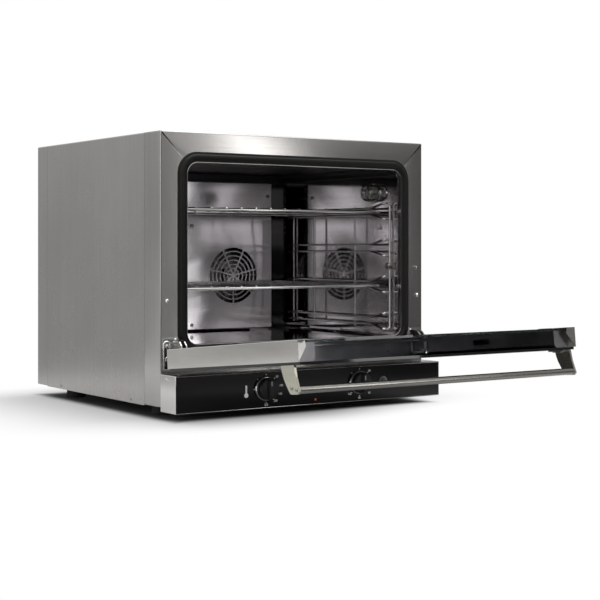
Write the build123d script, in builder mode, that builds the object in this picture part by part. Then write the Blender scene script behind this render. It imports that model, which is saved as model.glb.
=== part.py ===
# Countertop convection oven with a drop-down glass door, in millimetres.
# x runs across the width, y from the front towards the back, z up. The origin is on the
# counter, under the middle of the cabinet. The door is drawn shut and then turned open.
import os
from math import cos, radians, sin

from build123d import *

os.makedirs("parts", exist_ok=True)

# Facets of the round shapes that no other piece turns in or fits over
ROUND = 14
HEAD_SIDES = 6
CORNER_STEPS = 3

# Driving dimensions of the cabinet
WIDTH = 595.0
DEPTH = 532.0
FOOT_HEIGHT = 22.0
SHELL_HEIGHT = 492.0
SHEET = 1.0
FRAME_WRAP = 60.0
REAR_WRAP = 49.0
SEAM = 0.5

FRONT = -DEPTH / 2
BACK = DEPTH / 2
BOTTOM = FOOT_HEIGHT
TOP = FOOT_HEIGHT + SHELL_HEIGHT
SIDE = WIDTH / 2

# Driving dimensions of the oven cavity and its mouth
CAVITY_WIDTH = 503.0
CAVITY_BOTTOM = 126.5
CAVITY_TOP = 465.0
CAVITY_DEPTH = 458.0
CAVITY_CORNER = 8.0
GASKET_WIDTH = 525.0
GASKET_BOTTOM = 112.0
GASKET_TOP = 478.4
GASKET_BAND = 18.0
GASKET_CORNER = 40.0
GASKET_BASE = 2.5
GASKET_PROUD = 5.2
MOUTH_LIP = 1.5

CAVITY_SIDE = CAVITY_WIDTH / 2
CAVITY_HEIGHT = CAVITY_TOP - CAVITY_BOTTOM
CAVITY_MIDDLE = (CAVITY_TOP + CAVITY_BOTTOM) / 2
CAVITY_REAR = FRONT + CAVITY_DEPTH
GASKET_HEIGHT = GASKET_TOP - GASKET_BOTTOM
GASKET_MIDDLE = (GASKET_TOP + GASKET_BOTTOM) / 2
MOUTH_WIDTH = GASKET_WIDTH - 2 * GASKET_BAND - 0.6
MOUTH_HEIGHT = GASKET_HEIGHT - 2 * GASKET_BAND - 0.6
MOUTH_CORNER = GASKET_CORNER - GASKET_BAND

# Driving dimensions of the fans, their baffle and the heaters round them
BAFFLE_WIDTH = 406.0
BAFFLE_TOP = 445.0
BAFFLE_FLOOR_GAP = 1.5
BAFFLE_FRONT = FRONT + 407.0
FAN_X = 103.5
FAN_Z = 245.0
GRILLE_RADIUS = 60.0
GRILLE_RINGS = 4
GRILLE_PITCH = 9.4
GRILLE_SLOT = 6.0
GRILLE_BRIDGES = 7
FAN_RADIUS = 75.0
FAN_DEPTH = 32.0
FAN_BLADES = 10
SHAFT_RADIUS = 4.0
RUNNING_GAP = 0.05
HEATER_HALF = 90.0
HEATER_TUBE = 3.25

# Driving dimensions of the wire racks and shelves
WIRE = 2.25
WIRE_SIDES = 6
LEVEL_TOP = 377.5
LEVEL_PITCH = 73.5
LEVELS = 4
CHANNEL = 14.0
FLARE_UP = 17.0
FLARE_DOWN = 15.0
RACK_FRONT = FRONT + 40.0
RACK_REAR = FRONT + 386.0
RACK_MID_UPRIGHTS = (FRONT + 142.0, FRONT + 289.0)
WALL_OFFSET = 4.2
RUNNER_OFFSET = 20.0
SHELF_WIDTH = 465.0
SHELF_DEPTH = 342.0
SHELF_ROD = 3.0
SHELF_CORNER = 8.0
SHELF_WIRE = 1.6
SHELF_WIRES = 13

# Driving dimensions of the door, as if shut
DOOR_OPEN = 84.4
DOOR_SIDE = 294.5
DOOR_BOTTOM = 95.0
DOOR_LENGTH = 412.0
DOOR_GAP = 6.0
DOOR_FRAME_DEPTH = 34.5
GLASS = 4.5
STILE_WIDTH = 40.0
HINGE_AHEAD = 29.0
HINGE_Z = 104.0
HINGE_X = 270.0
HINGE_PIN = 4.0

DOOR_TOP = DOOR_BOTTOM + DOOR_LENGTH
DOOR_INNER = FRONT - DOOR_GAP
DOOR_OUTER = DOOR_INNER - DOOR_FRAME_DEPTH
GLASS_OUTER = DOOR_OUTER - GLASS
HINGE_Y = FRONT - HINGE_AHEAD

# Driving dimensions of the handle, as if shut
HANDLE_TUBE = 6.0
HANDLE_OUT = 38.2
HANDLE_PLATE = 4.0
ARM_FOOT_LENGTH = 20.0
HANDLE_Z = DOOR_TOP - 9.4
ARM_FOOT_LOW = DOOR_TOP - 49.0
ARM_FOOT_HIGH = DOOR_TOP - 13.0

# Driving dimensions of the control panel
PANEL_WIDTH = 594.0
PANEL_BOTTOM = 14.0
PANEL_TOP = 81.0
PANEL_DEPTH = 54.0
PANEL_GLASS = 3.0
PANEL_FACE = FRONT - PANEL_DEPTH
KNOB_Z = 49.5
KNOB_LEFT = -109.0
KNOB_RIGHT = 102.0
KNOB_RADIUS = 20.5
KNOB_DEPTH = 19.0
SPINDLE_RADIUS = 3.0
BUTTON_X = 158.0
BUTTON_RADIUS = 5.5
PILOT_Z = 23.5

# Driving dimensions of the feet, studs and rear fittings
FOOT_RADIUS = 20.0
FOOT_X = 250.0
FOOT_FRONT = FRONT + 80.0
FOOT_REAR = FRONT + 447.0
LAMP_Y = FRONT + 97.0
LAMP_Z = 417.0
LAMP_RADIUS = 19.0
SWITCH_X = SIDE - 17.5
SWITCH_Z = 266.0
SWITCH_SLEEVE = 3.2
PLUNGER_RADIUS = 2.0
VENT_RADIUS = 15.0
VENT_Z = 470.0
GLAND_BORE = 5.5
GLAND_X = 225.0
GLAND_Z = 62.0


def facing_front(y):
    """A sketch plane across the oven at depth y, whose extrusions come forward."""
    return Plane.XZ.offset(-y)


def soft_rectangle(width, height, radius, mode=Mode.ADD):
    """A rectangle whose rounded corners are made of a few straight facets."""
    points = []
    for quarter, (across, up) in enumerate([(1, 1), (-1, 1), (-1, -1), (1, -1)]):
        for step in range(CORNER_STEPS + 1):
            angle = radians(90 * (quarter + step / CORNER_STEPS))
            x = across * (width / 2 - radius) + radius * cos(angle)
            z = up * (height / 2 - radius) + radius * sin(angle)
            points.append((x, z))
    Polygon(*points, mode=mode)


def keep(name, shape):
    """Labels one finished piece and writes it to its own file."""
    shape.label = name
    export_step(shape, f"parts/{name}.step")


def keep_pair(name, shape):
    """Writes a right-hand piece and its mirror image."""
    keep(f"{name}_right", Compound(children=shape.solids()))
    keep(f"{name}_left", Compound(children=shape.mirror(Plane.YZ).solids()))


def both_sides(shape):
    """A right-hand piece together with its mirror image, as one piece of several solids."""
    return Compound(children=[*shape.solids(), *shape.mirror(Plane.YZ).solids()])


def opened(shape):
    """Turns a piece of the shut door about the hinge to where the open door rests."""
    return shape.rotate(Axis((0, HINGE_Y, HINGE_Z), (1, 0, 0)), DOOR_OPEN)


def heads(places, direction, radius, height):
    """Screw heads standing on the given points, all facing one way."""
    with BuildPart() as screws:
        for place in places:
            with BuildSketch(Plane(origin=place, z_dir=direction)):
                RegularPolygon(radius, HEAD_SIDES)
            extrude(amount=height)
    return screws.part


# Outer cover, one sheet folded over both sides and the top
COVER_FRONT = FRONT + FRAME_WRAP + SEAM
COVER_BACK = BACK - REAR_WRAP - SEAM
COVER_BOTTOM = BOTTOM - 1.5
with BuildPart() as cabinet_cover:
    with BuildSketch(facing_front(COVER_BACK)):
        with Locations((0, (TOP + COVER_BOTTOM) / 2)):
            Rectangle(WIDTH, TOP - COVER_BOTTOM)
        with Locations((0, (TOP - SHEET + COVER_BOTTOM) / 2)):
            Rectangle(WIDTH - 2 * SHEET, TOP - SHEET - COVER_BOTTOM, mode=Mode.SUBTRACT)
    extrude(amount=COVER_BACK - COVER_FRONT)
    folds = cabinet_cover.edges().filter_by(Axis.Y).group_by(Axis.Z)[-1]
    chamfer(folds, length=1.2)
keep("cabinet_cover", cabinet_cover.part)

# Front frame: a face plate with mitred borders, wrapped back over the sides and top
FRAME_SHEET = 1.2
with BuildPart() as front_frame:
    with BuildSketch(facing_front(FRONT + FRAME_WRAP)):
        with Locations((0, (TOP + BOTTOM) / 2)):
            Rectangle(WIDTH, SHELL_HEIGHT)
        with Locations((0, (TOP - SHEET + BOTTOM) / 2)):
            Rectangle(WIDTH - 2 * SHEET, SHELL_HEIGHT - SHEET, mode=Mode.SUBTRACT)
    extrude(amount=FRAME_WRAP - FRAME_SHEET)
    with BuildSketch(facing_front(FRONT + FRAME_SHEET)):
        with Locations((0, (TOP + BOTTOM) / 2)):
            Rectangle(WIDTH, SHELL_HEIGHT)
        with Locations((0, GASKET_MIDDLE)):
            soft_rectangle(MOUTH_WIDTH, MOUTH_HEIGHT, MOUTH_CORNER, mode=Mode.SUBTRACT)
        with Locations((SWITCH_X, SWITCH_Z)):
            RegularPolygon(SWITCH_SLEEVE, 8, mode=Mode.SUBTRACT)
    extrude(amount=FRAME_SHEET)
    with BuildSketch(facing_front(FRONT + 9.0)):
        with Locations((0, GASKET_MIDDLE)):
            soft_rectangle(MOUTH_WIDTH, MOUTH_HEIGHT, MOUTH_CORNER)
            soft_rectangle(
                MOUTH_WIDTH - 2 * MOUTH_LIP,
                MOUTH_HEIGHT - 2 * MOUTH_LIP,
                MOUTH_CORNER - MOUTH_LIP,
                mode=Mode.SUBTRACT,
            )
    extrude(amount=11.0)
    outer_folds = front_frame.edges().filter_by(Axis.Y).group_by(SortBy.LENGTH)[-1]
    chamfer(outer_folds.group_by(Axis.Z)[-1], length=1.2)
keep("front_frame", front_frame.part)

# Silicone door gasket: a flat base band with a sealing bulb along its middle
BULB_INSET = 4.5
with BuildPart() as door_gasket:
    with BuildSketch(facing_front(FRONT)):
        with Locations((0, GASKET_MIDDLE)):
            soft_rectangle(GASKET_WIDTH, GASKET_HEIGHT, GASKET_CORNER)
            soft_rectangle(
                GASKET_WIDTH - 2 * GASKET_BAND,
                GASKET_HEIGHT - 2 * GASKET_BAND,
                GASKET_CORNER - GASKET_BAND,
                mode=Mode.SUBTRACT,
            )
    extrude(amount=GASKET_BASE)
    with BuildSketch(facing_front(FRONT - GASKET_BASE)):
        with Locations((0, GASKET_MIDDLE)):
            soft_rectangle(
                GASKET_WIDTH - 2 * BULB_INSET,
                GASKET_HEIGHT - 2 * BULB_INSET,
                GASKET_CORNER - BULB_INSET,
            )
            soft_rectangle(
                GASKET_WIDTH - 2 * (GASKET_BAND - BULB_INSET),
                GASKET_HEIGHT - 2 * (GASKET_BAND - BULB_INSET),
                GASKET_CORNER - GASKET_BAND + BULB_INSET,
                mode=Mode.SUBTRACT,
            )
    extrude(amount=GASKET_PROUD - GASKET_BASE)
    chamfer(door_gasket.faces().sort_by(Axis.Y)[0].edges(), length=1.2)
keep("door_gasket", door_gasket.part)

# Stud bumpers on the frame for the shut door
STUD_X = SIDE - 13.0
STUD_Z = 211.0
with BuildPart() as frame_studs:
    with BuildSketch(facing_front(FRONT)):
        with Locations((STUD_X, STUD_Z), (-STUD_X, STUD_Z)):
            RegularPolygon(4.0, 8)
    extrude(amount=4.0, taper=25)
keep("frame_studs", frame_studs.part)

# Cavity shell: one pressed stainless box with its mouth flange behind the frame plate
CAVITY_SHEET = 1.0
FLANGE_WIDTH = 536.0
FLANGE_HEIGHT = 372.0
SHELL_FRONT = FRONT + FRAME_SHEET
with BuildPart() as cavity_shell:
    with BuildSketch(facing_front(CAVITY_REAR + CAVITY_SHEET)):
        with Locations((0, CAVITY_MIDDLE)):
            soft_rectangle(
                CAVITY_WIDTH + 2 * CAVITY_SHEET,
                CAVITY_HEIGHT + 2 * CAVITY_SHEET,
                CAVITY_CORNER + CAVITY_SHEET,
            )
    extrude(amount=CAVITY_REAR + CAVITY_SHEET - SHELL_FRONT)
    with BuildSketch(facing_front(SHELL_FRONT + CAVITY_SHEET)):
        with Locations((0, CAVITY_MIDDLE)):
            soft_rectangle(FLANGE_WIDTH, FLANGE_HEIGHT, CAVITY_CORNER)
    extrude(amount=CAVITY_SHEET)
    with BuildSketch(facing_front(CAVITY_REAR)):
        with Locations((0, CAVITY_MIDDLE)):
            soft_rectangle(CAVITY_WIDTH, CAVITY_HEIGHT, CAVITY_CORNER)
    extrude(amount=CAVITY_REAR - SHELL_FRONT, mode=Mode.SUBTRACT)
    with BuildSketch(facing_front(CAVITY_REAR + CAVITY_SHEET)):
        with Locations((FAN_X, FAN_Z), (-FAN_X, FAN_Z)):
            RegularPolygon(12.0, 12)
    extrude(amount=CAVITY_SHEET, mode=Mode.SUBTRACT)
    with BuildSketch(Plane.YZ.offset(CAVITY_SIDE)):
        with Locations((LAMP_Y, LAMP_Z)):
            RegularPolygon(LAMP_RADIUS - 3.0, ROUND)
    extrude(amount=CAVITY_SHEET, mode=Mode.SUBTRACT)
keep("cavity_shell", cavity_shell.part)

# Mineral wool blanket wrapped round the cavity
WOOL_SIDE = 282.0
WOOL_BOTTOM = 98.0
WOOL_TOP = 492.0
WOOL_FRONT = FRONT + 10.0
WOOL_BACK = FRONT + 484.0
CAVITY_OUTER_SIDE = CAVITY_SIDE + CAVITY_SHEET
with BuildPart() as insulation_blanket:
    with BuildSketch(facing_front(WOOL_BACK)):
        with Locations((0, (WOOL_TOP + WOOL_BOTTOM) / 2)):
            soft_rectangle(2 * WOOL_SIDE, WOOL_TOP - WOOL_BOTTOM, 15.0)
    extrude(amount=WOOL_BACK - WOOL_FRONT)
    with BuildSketch(facing_front(CAVITY_REAR + CAVITY_SHEET)):
        with Locations((0, CAVITY_MIDDLE)):
            soft_rectangle(
                2 * CAVITY_OUTER_SIDE,
                CAVITY_HEIGHT + 2 * CAVITY_SHEET,
                CAVITY_CORNER + CAVITY_SHEET,
            )
    extrude(amount=CAVITY_REAR + CAVITY_SHEET - WOOL_FRONT, mode=Mode.SUBTRACT)
    with BuildSketch(facing_front(WOOL_BACK)):
        with Locations((FAN_X, FAN_Z), (-FAN_X, FAN_Z)):
            RegularPolygon(20.0, 12)
    extrude(amount=WOOL_BACK - CAVITY_REAR, mode=Mode.SUBTRACT)
    with BuildSketch(Plane.YZ.offset(CAVITY_OUTER_SIDE)):
        with Locations((LAMP_Y, LAMP_Z)):
            RegularPolygon(LAMP_RADIUS + 3.0, ROUND)
    extrude(amount=WOOL_SIDE - CAVITY_OUTER_SIDE, mode=Mode.SUBTRACT)
keep("insulation_blanket", insulation_blanket.part)

# Base pan: a shallow tray that the feet and the electrics are bolted to
PAN_SIDE = SIDE - SHEET - 0.3
PAN_FRONT = FRONT + FRAME_SHEET
PAN_BACK = BACK - SHEET
PAN_WALL = 1.2
with BuildPart() as base_pan:
    with BuildSketch(Plane.XY.offset(BOTTOM)):
        with Locations((0, (PAN_FRONT + PAN_BACK) / 2)):
            Rectangle(2 * PAN_SIDE, PAN_BACK - PAN_FRONT)
    extrude(amount=24.0)
    with BuildSketch(Plane.XY.offset(BOTTOM + PAN_WALL)):
        with Locations((0, (PAN_FRONT + PAN_BACK) / 2)):
            Rectangle(2 * (PAN_SIDE - PAN_WALL), PAN_BACK - PAN_FRONT - 2 * PAN_WALL)
    extrude(amount=24.0, mode=Mode.SUBTRACT)
    with BuildSketch(Plane.XY.offset(BOTTOM)):
        with GridLocations(40.0, 1.0, 6, 1):
            Rectangle(8.0, 120.0)
    extrude(amount=PAN_WALL, mode=Mode.SUBTRACT)
keep("base_pan", base_pan.part)

# Rear panel: a sheet wrapped forward round the sides and top, with two banks of louvres
LOUVRE_LENGTH = 170.0
LOUVRE_PITCH = 20.0
LOUVRE_ROWS = 7
LOUVRE_X = 135.0
LOUVRE_Z = 250.0
LOUVRE_SLOT = 8.0
LOUVRE_HOOD = 5.0
with BuildPart() as rear_panel:
    with BuildSketch(facing_front(BACK)):
        with Locations((0, (TOP + BOTTOM) / 2)):
            Rectangle(WIDTH, SHELL_HEIGHT)
    extrude(amount=REAR_WRAP)
    with BuildSketch(facing_front(BACK - SHEET)):
        with Locations((0, (TOP - SHEET + BOTTOM) / 2)):
            Rectangle(WIDTH - 2 * SHEET, SHELL_HEIGHT - SHEET)
    extrude(amount=REAR_WRAP, mode=Mode.SUBTRACT)
    with BuildSketch(facing_front(BACK)):
        with Locations((0, LOUVRE_Z)):
            with GridLocations(2 * LOUVRE_X, LOUVRE_PITCH, 2, LOUVRE_ROWS):
                Rectangle(LOUVRE_LENGTH, LOUVRE_SLOT)
        with Locations((-GLAND_X, VENT_Z)):
            RegularPolygon(VENT_RADIUS, ROUND)
        with Locations((GLAND_X, GLAND_Z)):
            RegularPolygon(9.0, 12)
    extrude(amount=SHEET, mode=Mode.SUBTRACT)
    for side in (-1, 1):
        for row in range(LOUVRE_ROWS):
            slot_top = LOUVRE_Z + (row - (LOUVRE_ROWS - 1) / 2) * LOUVRE_PITCH + LOUVRE_SLOT / 2
            with BuildSketch(Plane.YZ.offset(side * LOUVRE_X - LOUVRE_LENGTH / 2)):
                with BuildLine():
                    Polyline(
                        (BACK - SHEET, slot_top + 1.0),
                        (BACK, slot_top + 1.0),
                        (BACK + LOUVRE_HOOD, slot_top - LOUVRE_SLOT),
                        (BACK + LOUVRE_HOOD - 1.0, slot_top - LOUVRE_SLOT),
                        (BACK - SHEET, slot_top - 1.0),
                        close=True,
                    )
                make_face()
            extrude(amount=LOUVRE_LENGTH)
keep("rear_panel", rear_panel.part)

# Case screws: pan heads low on both sides of the cover and down the edges of the back
COVER_SCREW_Y = (FRONT + 112.0, FRONT + 417.0)
REAR_SCREW_Z = (BOTTOM + 30.0, (TOP + BOTTOM) / 2, TOP - 14.0)
side_heads = heads([(SIDE, y, COVER_BOTTOM + 7.0) for y in COVER_SCREW_Y], (1, 0, 0), 3.0, 1.2)
rear_heads = heads([(SIDE - 12.0, BACK, z) for z in REAR_SCREW_Z], (0, 1, 0), 3.2, 1.6)
keep("case_screws", both_sides(Compound(children=[*side_heads.solids(), *rear_heads.solids()])))

# Steam vent pipe at the back, with a collar against the rear panel
with BuildPart() as vent_pipe:
    with BuildSketch(facing_front(BACK + 2.0)):
        with Locations((-GLAND_X, VENT_Z)):
            RegularPolygon(VENT_RADIUS, ROUND)
    extrude(amount=34.0)
    with BuildSketch(facing_front(BACK + 2.0)):
        with Locations((-GLAND_X, VENT_Z)):
            RegularPolygon(VENT_RADIUS + 5.0, ROUND)
    extrude(amount=2.0)
    with BuildSketch(facing_front(BACK + 30.0)):
        with Locations((-GLAND_X, VENT_Z)):
            Circle(VENT_RADIUS - 1.0)
    extrude(amount=28.0)
    with BuildSketch(facing_front(BACK + 30.0)):
        with Locations((-GLAND_X, VENT_Z)):
            RegularPolygon(VENT_RADIUS - 2.5, ROUND)
    extrude(amount=62.0, mode=Mode.SUBTRACT)
keep("vent_pipe", vent_pipe.part)

# Cable gland at the back, with nothing in it
with BuildPart() as cable_gland:
    with BuildSketch(facing_front(BACK + 6.0)):
        with Locations((GLAND_X, GLAND_Z)):
            RegularPolygon(13.0, 6)
    extrude(amount=6.0)
    with BuildSketch(facing_front(BACK + 18.0)):
        with Locations((GLAND_X, GLAND_Z)):
            RegularPolygon(10.0, 12)
    extrude(amount=12.0)
    with BuildSketch(facing_front(BACK)):
        with Locations((GLAND_X, GLAND_Z)):
            RegularPolygon(9.0, 12)
    extrude(amount=12.0)
    with BuildSketch(facing_front(BACK + 18.0)):
        with Locations((GLAND_X, GLAND_Z)):
            Circle(GLAND_BORE)
    extrude(amount=30.0, mode=Mode.SUBTRACT)
keep("cable_gland", cable_gland.part)

# Four rubber feet, tapered, on the base pan
with BuildPart() as feet:
    for y in (FOOT_FRONT, FOOT_REAR):
        for x in (-FOOT_X, FOOT_X):
            with BuildSketch(Plane.XY):
                with Locations((x, y)):
                    RegularPolygon(FOOT_RADIUS, ROUND)
            extrude(amount=FOOT_HEIGHT, taper=9)
keep("feet", feet.part)

# Fan baffle: a folded plate with two round suction grilles of ring slots
BAFFLE_BOTTOM = CAVITY_BOTTOM + BAFFLE_FLOOR_GAP
BAFFLE_HEIGHT = BAFFLE_TOP - BAFFLE_BOTTOM
BAFFLE_MIDDLE = (BAFFLE_TOP + BAFFLE_BOTTOM) / 2
BAFFLE_FOLD = 12.0
BAFFLE_SHEET = 1.0
with BuildPart() as fan_baffle:
    with BuildSketch(facing_front(BAFFLE_FRONT + BAFFLE_SHEET)) as baffle_face:
        with Locations((0, BAFFLE_MIDDLE)):
            Rectangle(BAFFLE_WIDTH, BAFFLE_HEIGHT)
        with BuildSketch(mode=Mode.PRIVATE) as grille:
            for ring in range(GRILLE_RINGS):
                outer = GRILLE_RADIUS - ring * GRILLE_PITCH
                inner = outer - GRILLE_SLOT
                RegularPolygon(outer, 2 * GRILLE_BRIDGES, rotation=90)
                RegularPolygon(inner, 2 * GRILLE_BRIDGES, rotation=90, mode=Mode.SUBTRACT)
            with PolarLocations(GRILLE_RADIUS / 2 + 7.0, GRILLE_BRIDGES, start_angle=270):
                Rectangle(GRILLE_RADIUS, GRILLE_PITCH - GRILLE_SLOT, mode=Mode.SUBTRACT)
        with Locations((-FAN_X, FAN_Z), (FAN_X, FAN_Z)):
            add(grille.sketch, mode=Mode.SUBTRACT)
    extrude(amount=BAFFLE_SHEET)
    with BuildSketch(facing_front(BAFFLE_FRONT + BAFFLE_FOLD)):
        for side in (-1, 1):
            with Locations((side * (BAFFLE_WIDTH - BAFFLE_SHEET) / 2, BAFFLE_MIDDLE)):
                Rectangle(BAFFLE_SHEET, BAFFLE_HEIGHT - 12.0)
    extrude(amount=BAFFLE_FOLD - BAFFLE_SHEET)
keep("fan_baffle", fan_baffle.part)

# Spacer posts that hold the baffle off the rear wall, and their screws
POST_PLACES = [(0, 351.0), (-192.0, 417.0), (192.0, 417.0), (0, BAFFLE_BOTTOM + 12.0)]
with BuildPart() as baffle_posts:
    with BuildSketch(facing_front(CAVITY_REAR)):
        with Locations(POST_PLACES):
            RegularPolygon(5.0, 6)
    extrude(amount=CAVITY_REAR - BAFFLE_FRONT - BAFFLE_SHEET)
keep("baffle_posts", baffle_posts.part)
baffle_screw_places = [(x, BAFFLE_FRONT, z) for x, z in POST_PLACES]
keep("baffle_screws", heads(baffle_screw_places, (0, -1, 0), 4.0, 2.2))

# Radial fan wheel on its motor shaft, one behind each grille
FAN_BACK = CAVITY_REAR - 8.0
FAN_FRONT = FAN_BACK - FAN_DEPTH
HUB_RADIUS = 14.0
SHAFT_BACK = CAVITY_REAR + 50.0


def fan_wheel(x):
    """A fan wheel: back disc, hub, straight radial blades and the motor shaft."""
    with BuildPart() as wheel:
        with BuildSketch(facing_front(FAN_BACK)):
            with Locations((x, FAN_Z)):
                RegularPolygon(FAN_RADIUS - 6.0, ROUND)
        extrude(amount=1.5)
        with BuildSketch(facing_front(FAN_BACK)):
            with Locations((x, FAN_Z)):
                RegularPolygon(HUB_RADIUS, 12)
        extrude(amount=18.0)
        with BuildSketch(facing_front(FAN_BACK - 1.0)):
            with Locations((x, FAN_Z)):
                with PolarLocations((FAN_RADIUS + 32.0) / 2, FAN_BLADES):
                    Rectangle(FAN_RADIUS - 32.0, 1.5)
        extrude(amount=FAN_DEPTH - 1.0)
        with BuildSketch(facing_front(SHAFT_BACK)):
            with Locations((x, FAN_Z)):
                Circle(SHAFT_RADIUS)
        extrude(amount=SHAFT_BACK - FAN_BACK + 24.0)
    return wheel.part


keep("fan_left", fan_wheel(-FAN_X))
keep("fan_right", fan_wheel(FAN_X))

# Fan motors behind the wool, each with a plate towards the cavity and a lamination block
MOTOR_FRONT = WOOL_BACK
MOTOR_BACK = BACK - SHEET - 4.0


def fan_motor(x):
    """A shaded pole motor: mounting plate, square lamination block and end bearing cap."""
    with BuildPart() as motor:
        with BuildSketch(facing_front(MOTOR_FRONT + 3.0)):
            with Locations((x, FAN_Z)):
                Rectangle(90.0, 90.0)
        extrude(amount=3.0)
        with BuildSketch(facing_front(MOTOR_BACK - 8.0)):
            with Locations((x, FAN_Z)):
                Rectangle(62.0, 62.0)
        extrude(amount=MOTOR_BACK - 8.0 - MOTOR_FRONT)
        with BuildSketch(facing_front(MOTOR_BACK)):
            with Locations((x, FAN_Z)):
                RegularPolygon(22.0, ROUND)
        extrude(amount=8.0)
        with BuildSketch(facing_front(SHAFT_BACK + 1.0)):
            with Locations((x, FAN_Z)):
                Circle(SHAFT_RADIUS + RUNNING_GAP)
        extrude(amount=SHAFT_BACK + 1.0 - MOTOR_FRONT, mode=Mode.SUBTRACT)
    return motor.part


keep("fan_motor_left", fan_motor(-FAN_X))
keep("fan_motor_right", fan_motor(FAN_X))


def eased(points, cut):
    """The points of a bent run with each corner cut off, so that a wire bends in two steps."""
    run = [Vector(*points[0])]
    for before, corner, after in zip(points, points[1:], points[2:]):
        for neighbour in (before, after):
            away = Vector(*neighbour) - Vector(*corner)
            run.append(Vector(*corner) + away.normalized() * cut)
    return [*run, Vector(*points[-1])]


def rod(points, radius, sides, start):
    """A rod of one section swept along straight runs with mitred corners."""
    with BuildPart() as bent:
        with BuildLine() as route:
            Polyline(*points)
        with BuildSketch(Plane(origin=points[0], x_dir=start, z_dir=points[1] - points[0])):
            RegularPolygon(radius, sides)
        sweep(path=route.wires()[0], transition=Transition.RIGHT)
    return bent.part


def ring_rod(points, radius, sides):
    """A rod whose two ends meet, swept round a closed set of straight runs."""
    with BuildPart() as bent:
        with BuildLine() as route:
            Polyline(*points, close=True)
        with BuildSketch(Plane(origin=points[0], z_dir=points[1] - points[0])):
            RegularPolygon(radius, sides)
        sweep(path=route.wires()[0], transition=Transition.RIGHT)
    return bent.part


# Tubular heating elements: a rounded square loop round each fan, with two legs to the back
HEATER_Y = FAN_FRONT + 14.0
HEATER_BEND = 20.0
HEATER_LEG = 12.0


def heating_element(x):
    """A bent heater tube that runs round the fan and out through the rear wall."""
    low = FAN_Z - HEATER_HALF
    high = FAN_Z + HEATER_HALF
    loop = [
        (x - HEATER_LEG, HEATER_Y, low),
        (x - HEATER_HALF, HEATER_Y, low),
        (x - HEATER_HALF, HEATER_Y, high),
        (x + HEATER_HALF, HEATER_Y, high),
        (x + HEATER_HALF, HEATER_Y, low),
        (x + HEATER_LEG, HEATER_Y, low),
    ]
    first = Vector(x - HEATER_LEG, CAVITY_REAR, low)
    last = Vector(x + HEATER_LEG, CAVITY_REAR, low)
    return rod([first, *eased(loop, HEATER_BEND), last], HEATER_TUBE, WIRE_SIDES, (1, 0, 0))


heaters = [heating_element(-FAN_X).solid(), heating_element(FAN_X).solid()]
keep("heating_elements", Compound(children=heaters))

# Wire rack on the right wall: flared shelf runners welded to uprights. The top and bottom
# runners and the front upright are one continuous wire.
WIRE_FLAT = WIRE * cos(radians(30))
WALL_X = CAVITY_SIDE - WALL_OFFSET
RUNNER_X = CAVITY_SIDE - RUNNER_OFFSET
FLARE_END = RACK_FRONT + 42.0
WIRE_BEND = 5.0
RACK_TOP = LEVEL_TOP + CHANNEL / 2
RACK_BOTTOM = LEVEL_TOP - (LEVELS - 1) * LEVEL_PITCH - CHANNEL / 2


def runner_bends(level_z, flare, front_x):
    """The corners of one runner: out from the front upright, along the channel, to the wall."""
    front = [(front_x, RACK_FRONT, level_z + flare), (RUNNER_X, RACK_FRONT, level_z + flare)]
    rear = [(RUNNER_X, RACK_REAR, level_z), (WALL_X - WIRE_FLAT, RACK_REAR, level_z)]
    return [*front, (RUNNER_X, FLARE_END, level_z), *rear]


def runner(level_z, flare):
    """A runner wire between the front and rear uprights."""
    bends = runner_bends(level_z, flare, WALL_X - WIRE)
    return rod(eased(bends, WIRE_BEND), WIRE, WIRE_SIDES, (0, 0, 1)).solid()


def upright(x, y, low, high):
    """A straight upright wire."""
    with BuildPart() as bar:
        with BuildSketch(Plane.XY.offset(low)):
            with Locations((x, y)):
                RegularPolygon(WIRE, WIRE_SIDES, rotation=30)
        extrude(amount=high - low)
    return bar.part.solid()


UP_FLARE = FLARE_UP - CHANNEL / 2
DOWN_FLARE = CHANNEL / 2 - FLARE_DOWN
top_run = runner_bends(RACK_TOP, UP_FLARE, WALL_X)
bottom_run = runner_bends(RACK_BOTTOM, DOWN_FLARE, WALL_X)
frame_run = eased([*reversed(top_run), *bottom_run], WIRE_BEND)
runner_wires = [rod(frame_run, WIRE, WIRE_SIDES, (0, 0, 1)).solid()]
for level in range(LEVELS):
    level_z = LEVEL_TOP - level * LEVEL_PITCH
    if level > 0:
        runner_wires.append(runner(level_z + CHANNEL / 2, UP_FLARE))
    if level < LEVELS - 1:
        runner_wires.append(runner(level_z - CHANNEL / 2, DOWN_FLARE))
keep_pair("rack_runners", Compound(children=runner_wires))

upright_wires = [upright(WALL_X, RACK_REAR, RACK_BOTTOM - 6.0, RACK_TOP + 6.0)]
for y in RACK_MID_UPRIGHTS:
    upright_wires.append(upright(RUNNER_X + WIRE + WIRE_FLAT, y, RACK_BOTTOM - 6.0, RACK_TOP + 6.0))
keep_pair("rack_uprights", Compound(children=upright_wires))

# Rack fixing: a stud from the wall with a round nut that clamps the front upright
RACK_NUT_Z = 268.0
with BuildPart() as rack_fixing:
    with BuildSketch(Plane.YZ.offset(WALL_X - WIRE - 6.0)):
        with Locations((RACK_FRONT, RACK_NUT_Z)):
            RegularPolygon(7.0, 12)
    extrude(amount=6.0)
    with BuildSketch(Plane.YZ.offset(WALL_X - WIRE)):
        with Locations((RACK_FRONT + 8.0, RACK_NUT_Z), (RACK_FRONT - 8.0, RACK_NUT_Z)):
            Rectangle(8.0, 10.0)
    extrude(amount=CAVITY_SIDE - WALL_X + WIRE)
keep("rack_fixings", both_sides(rack_fixing.part))


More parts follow.
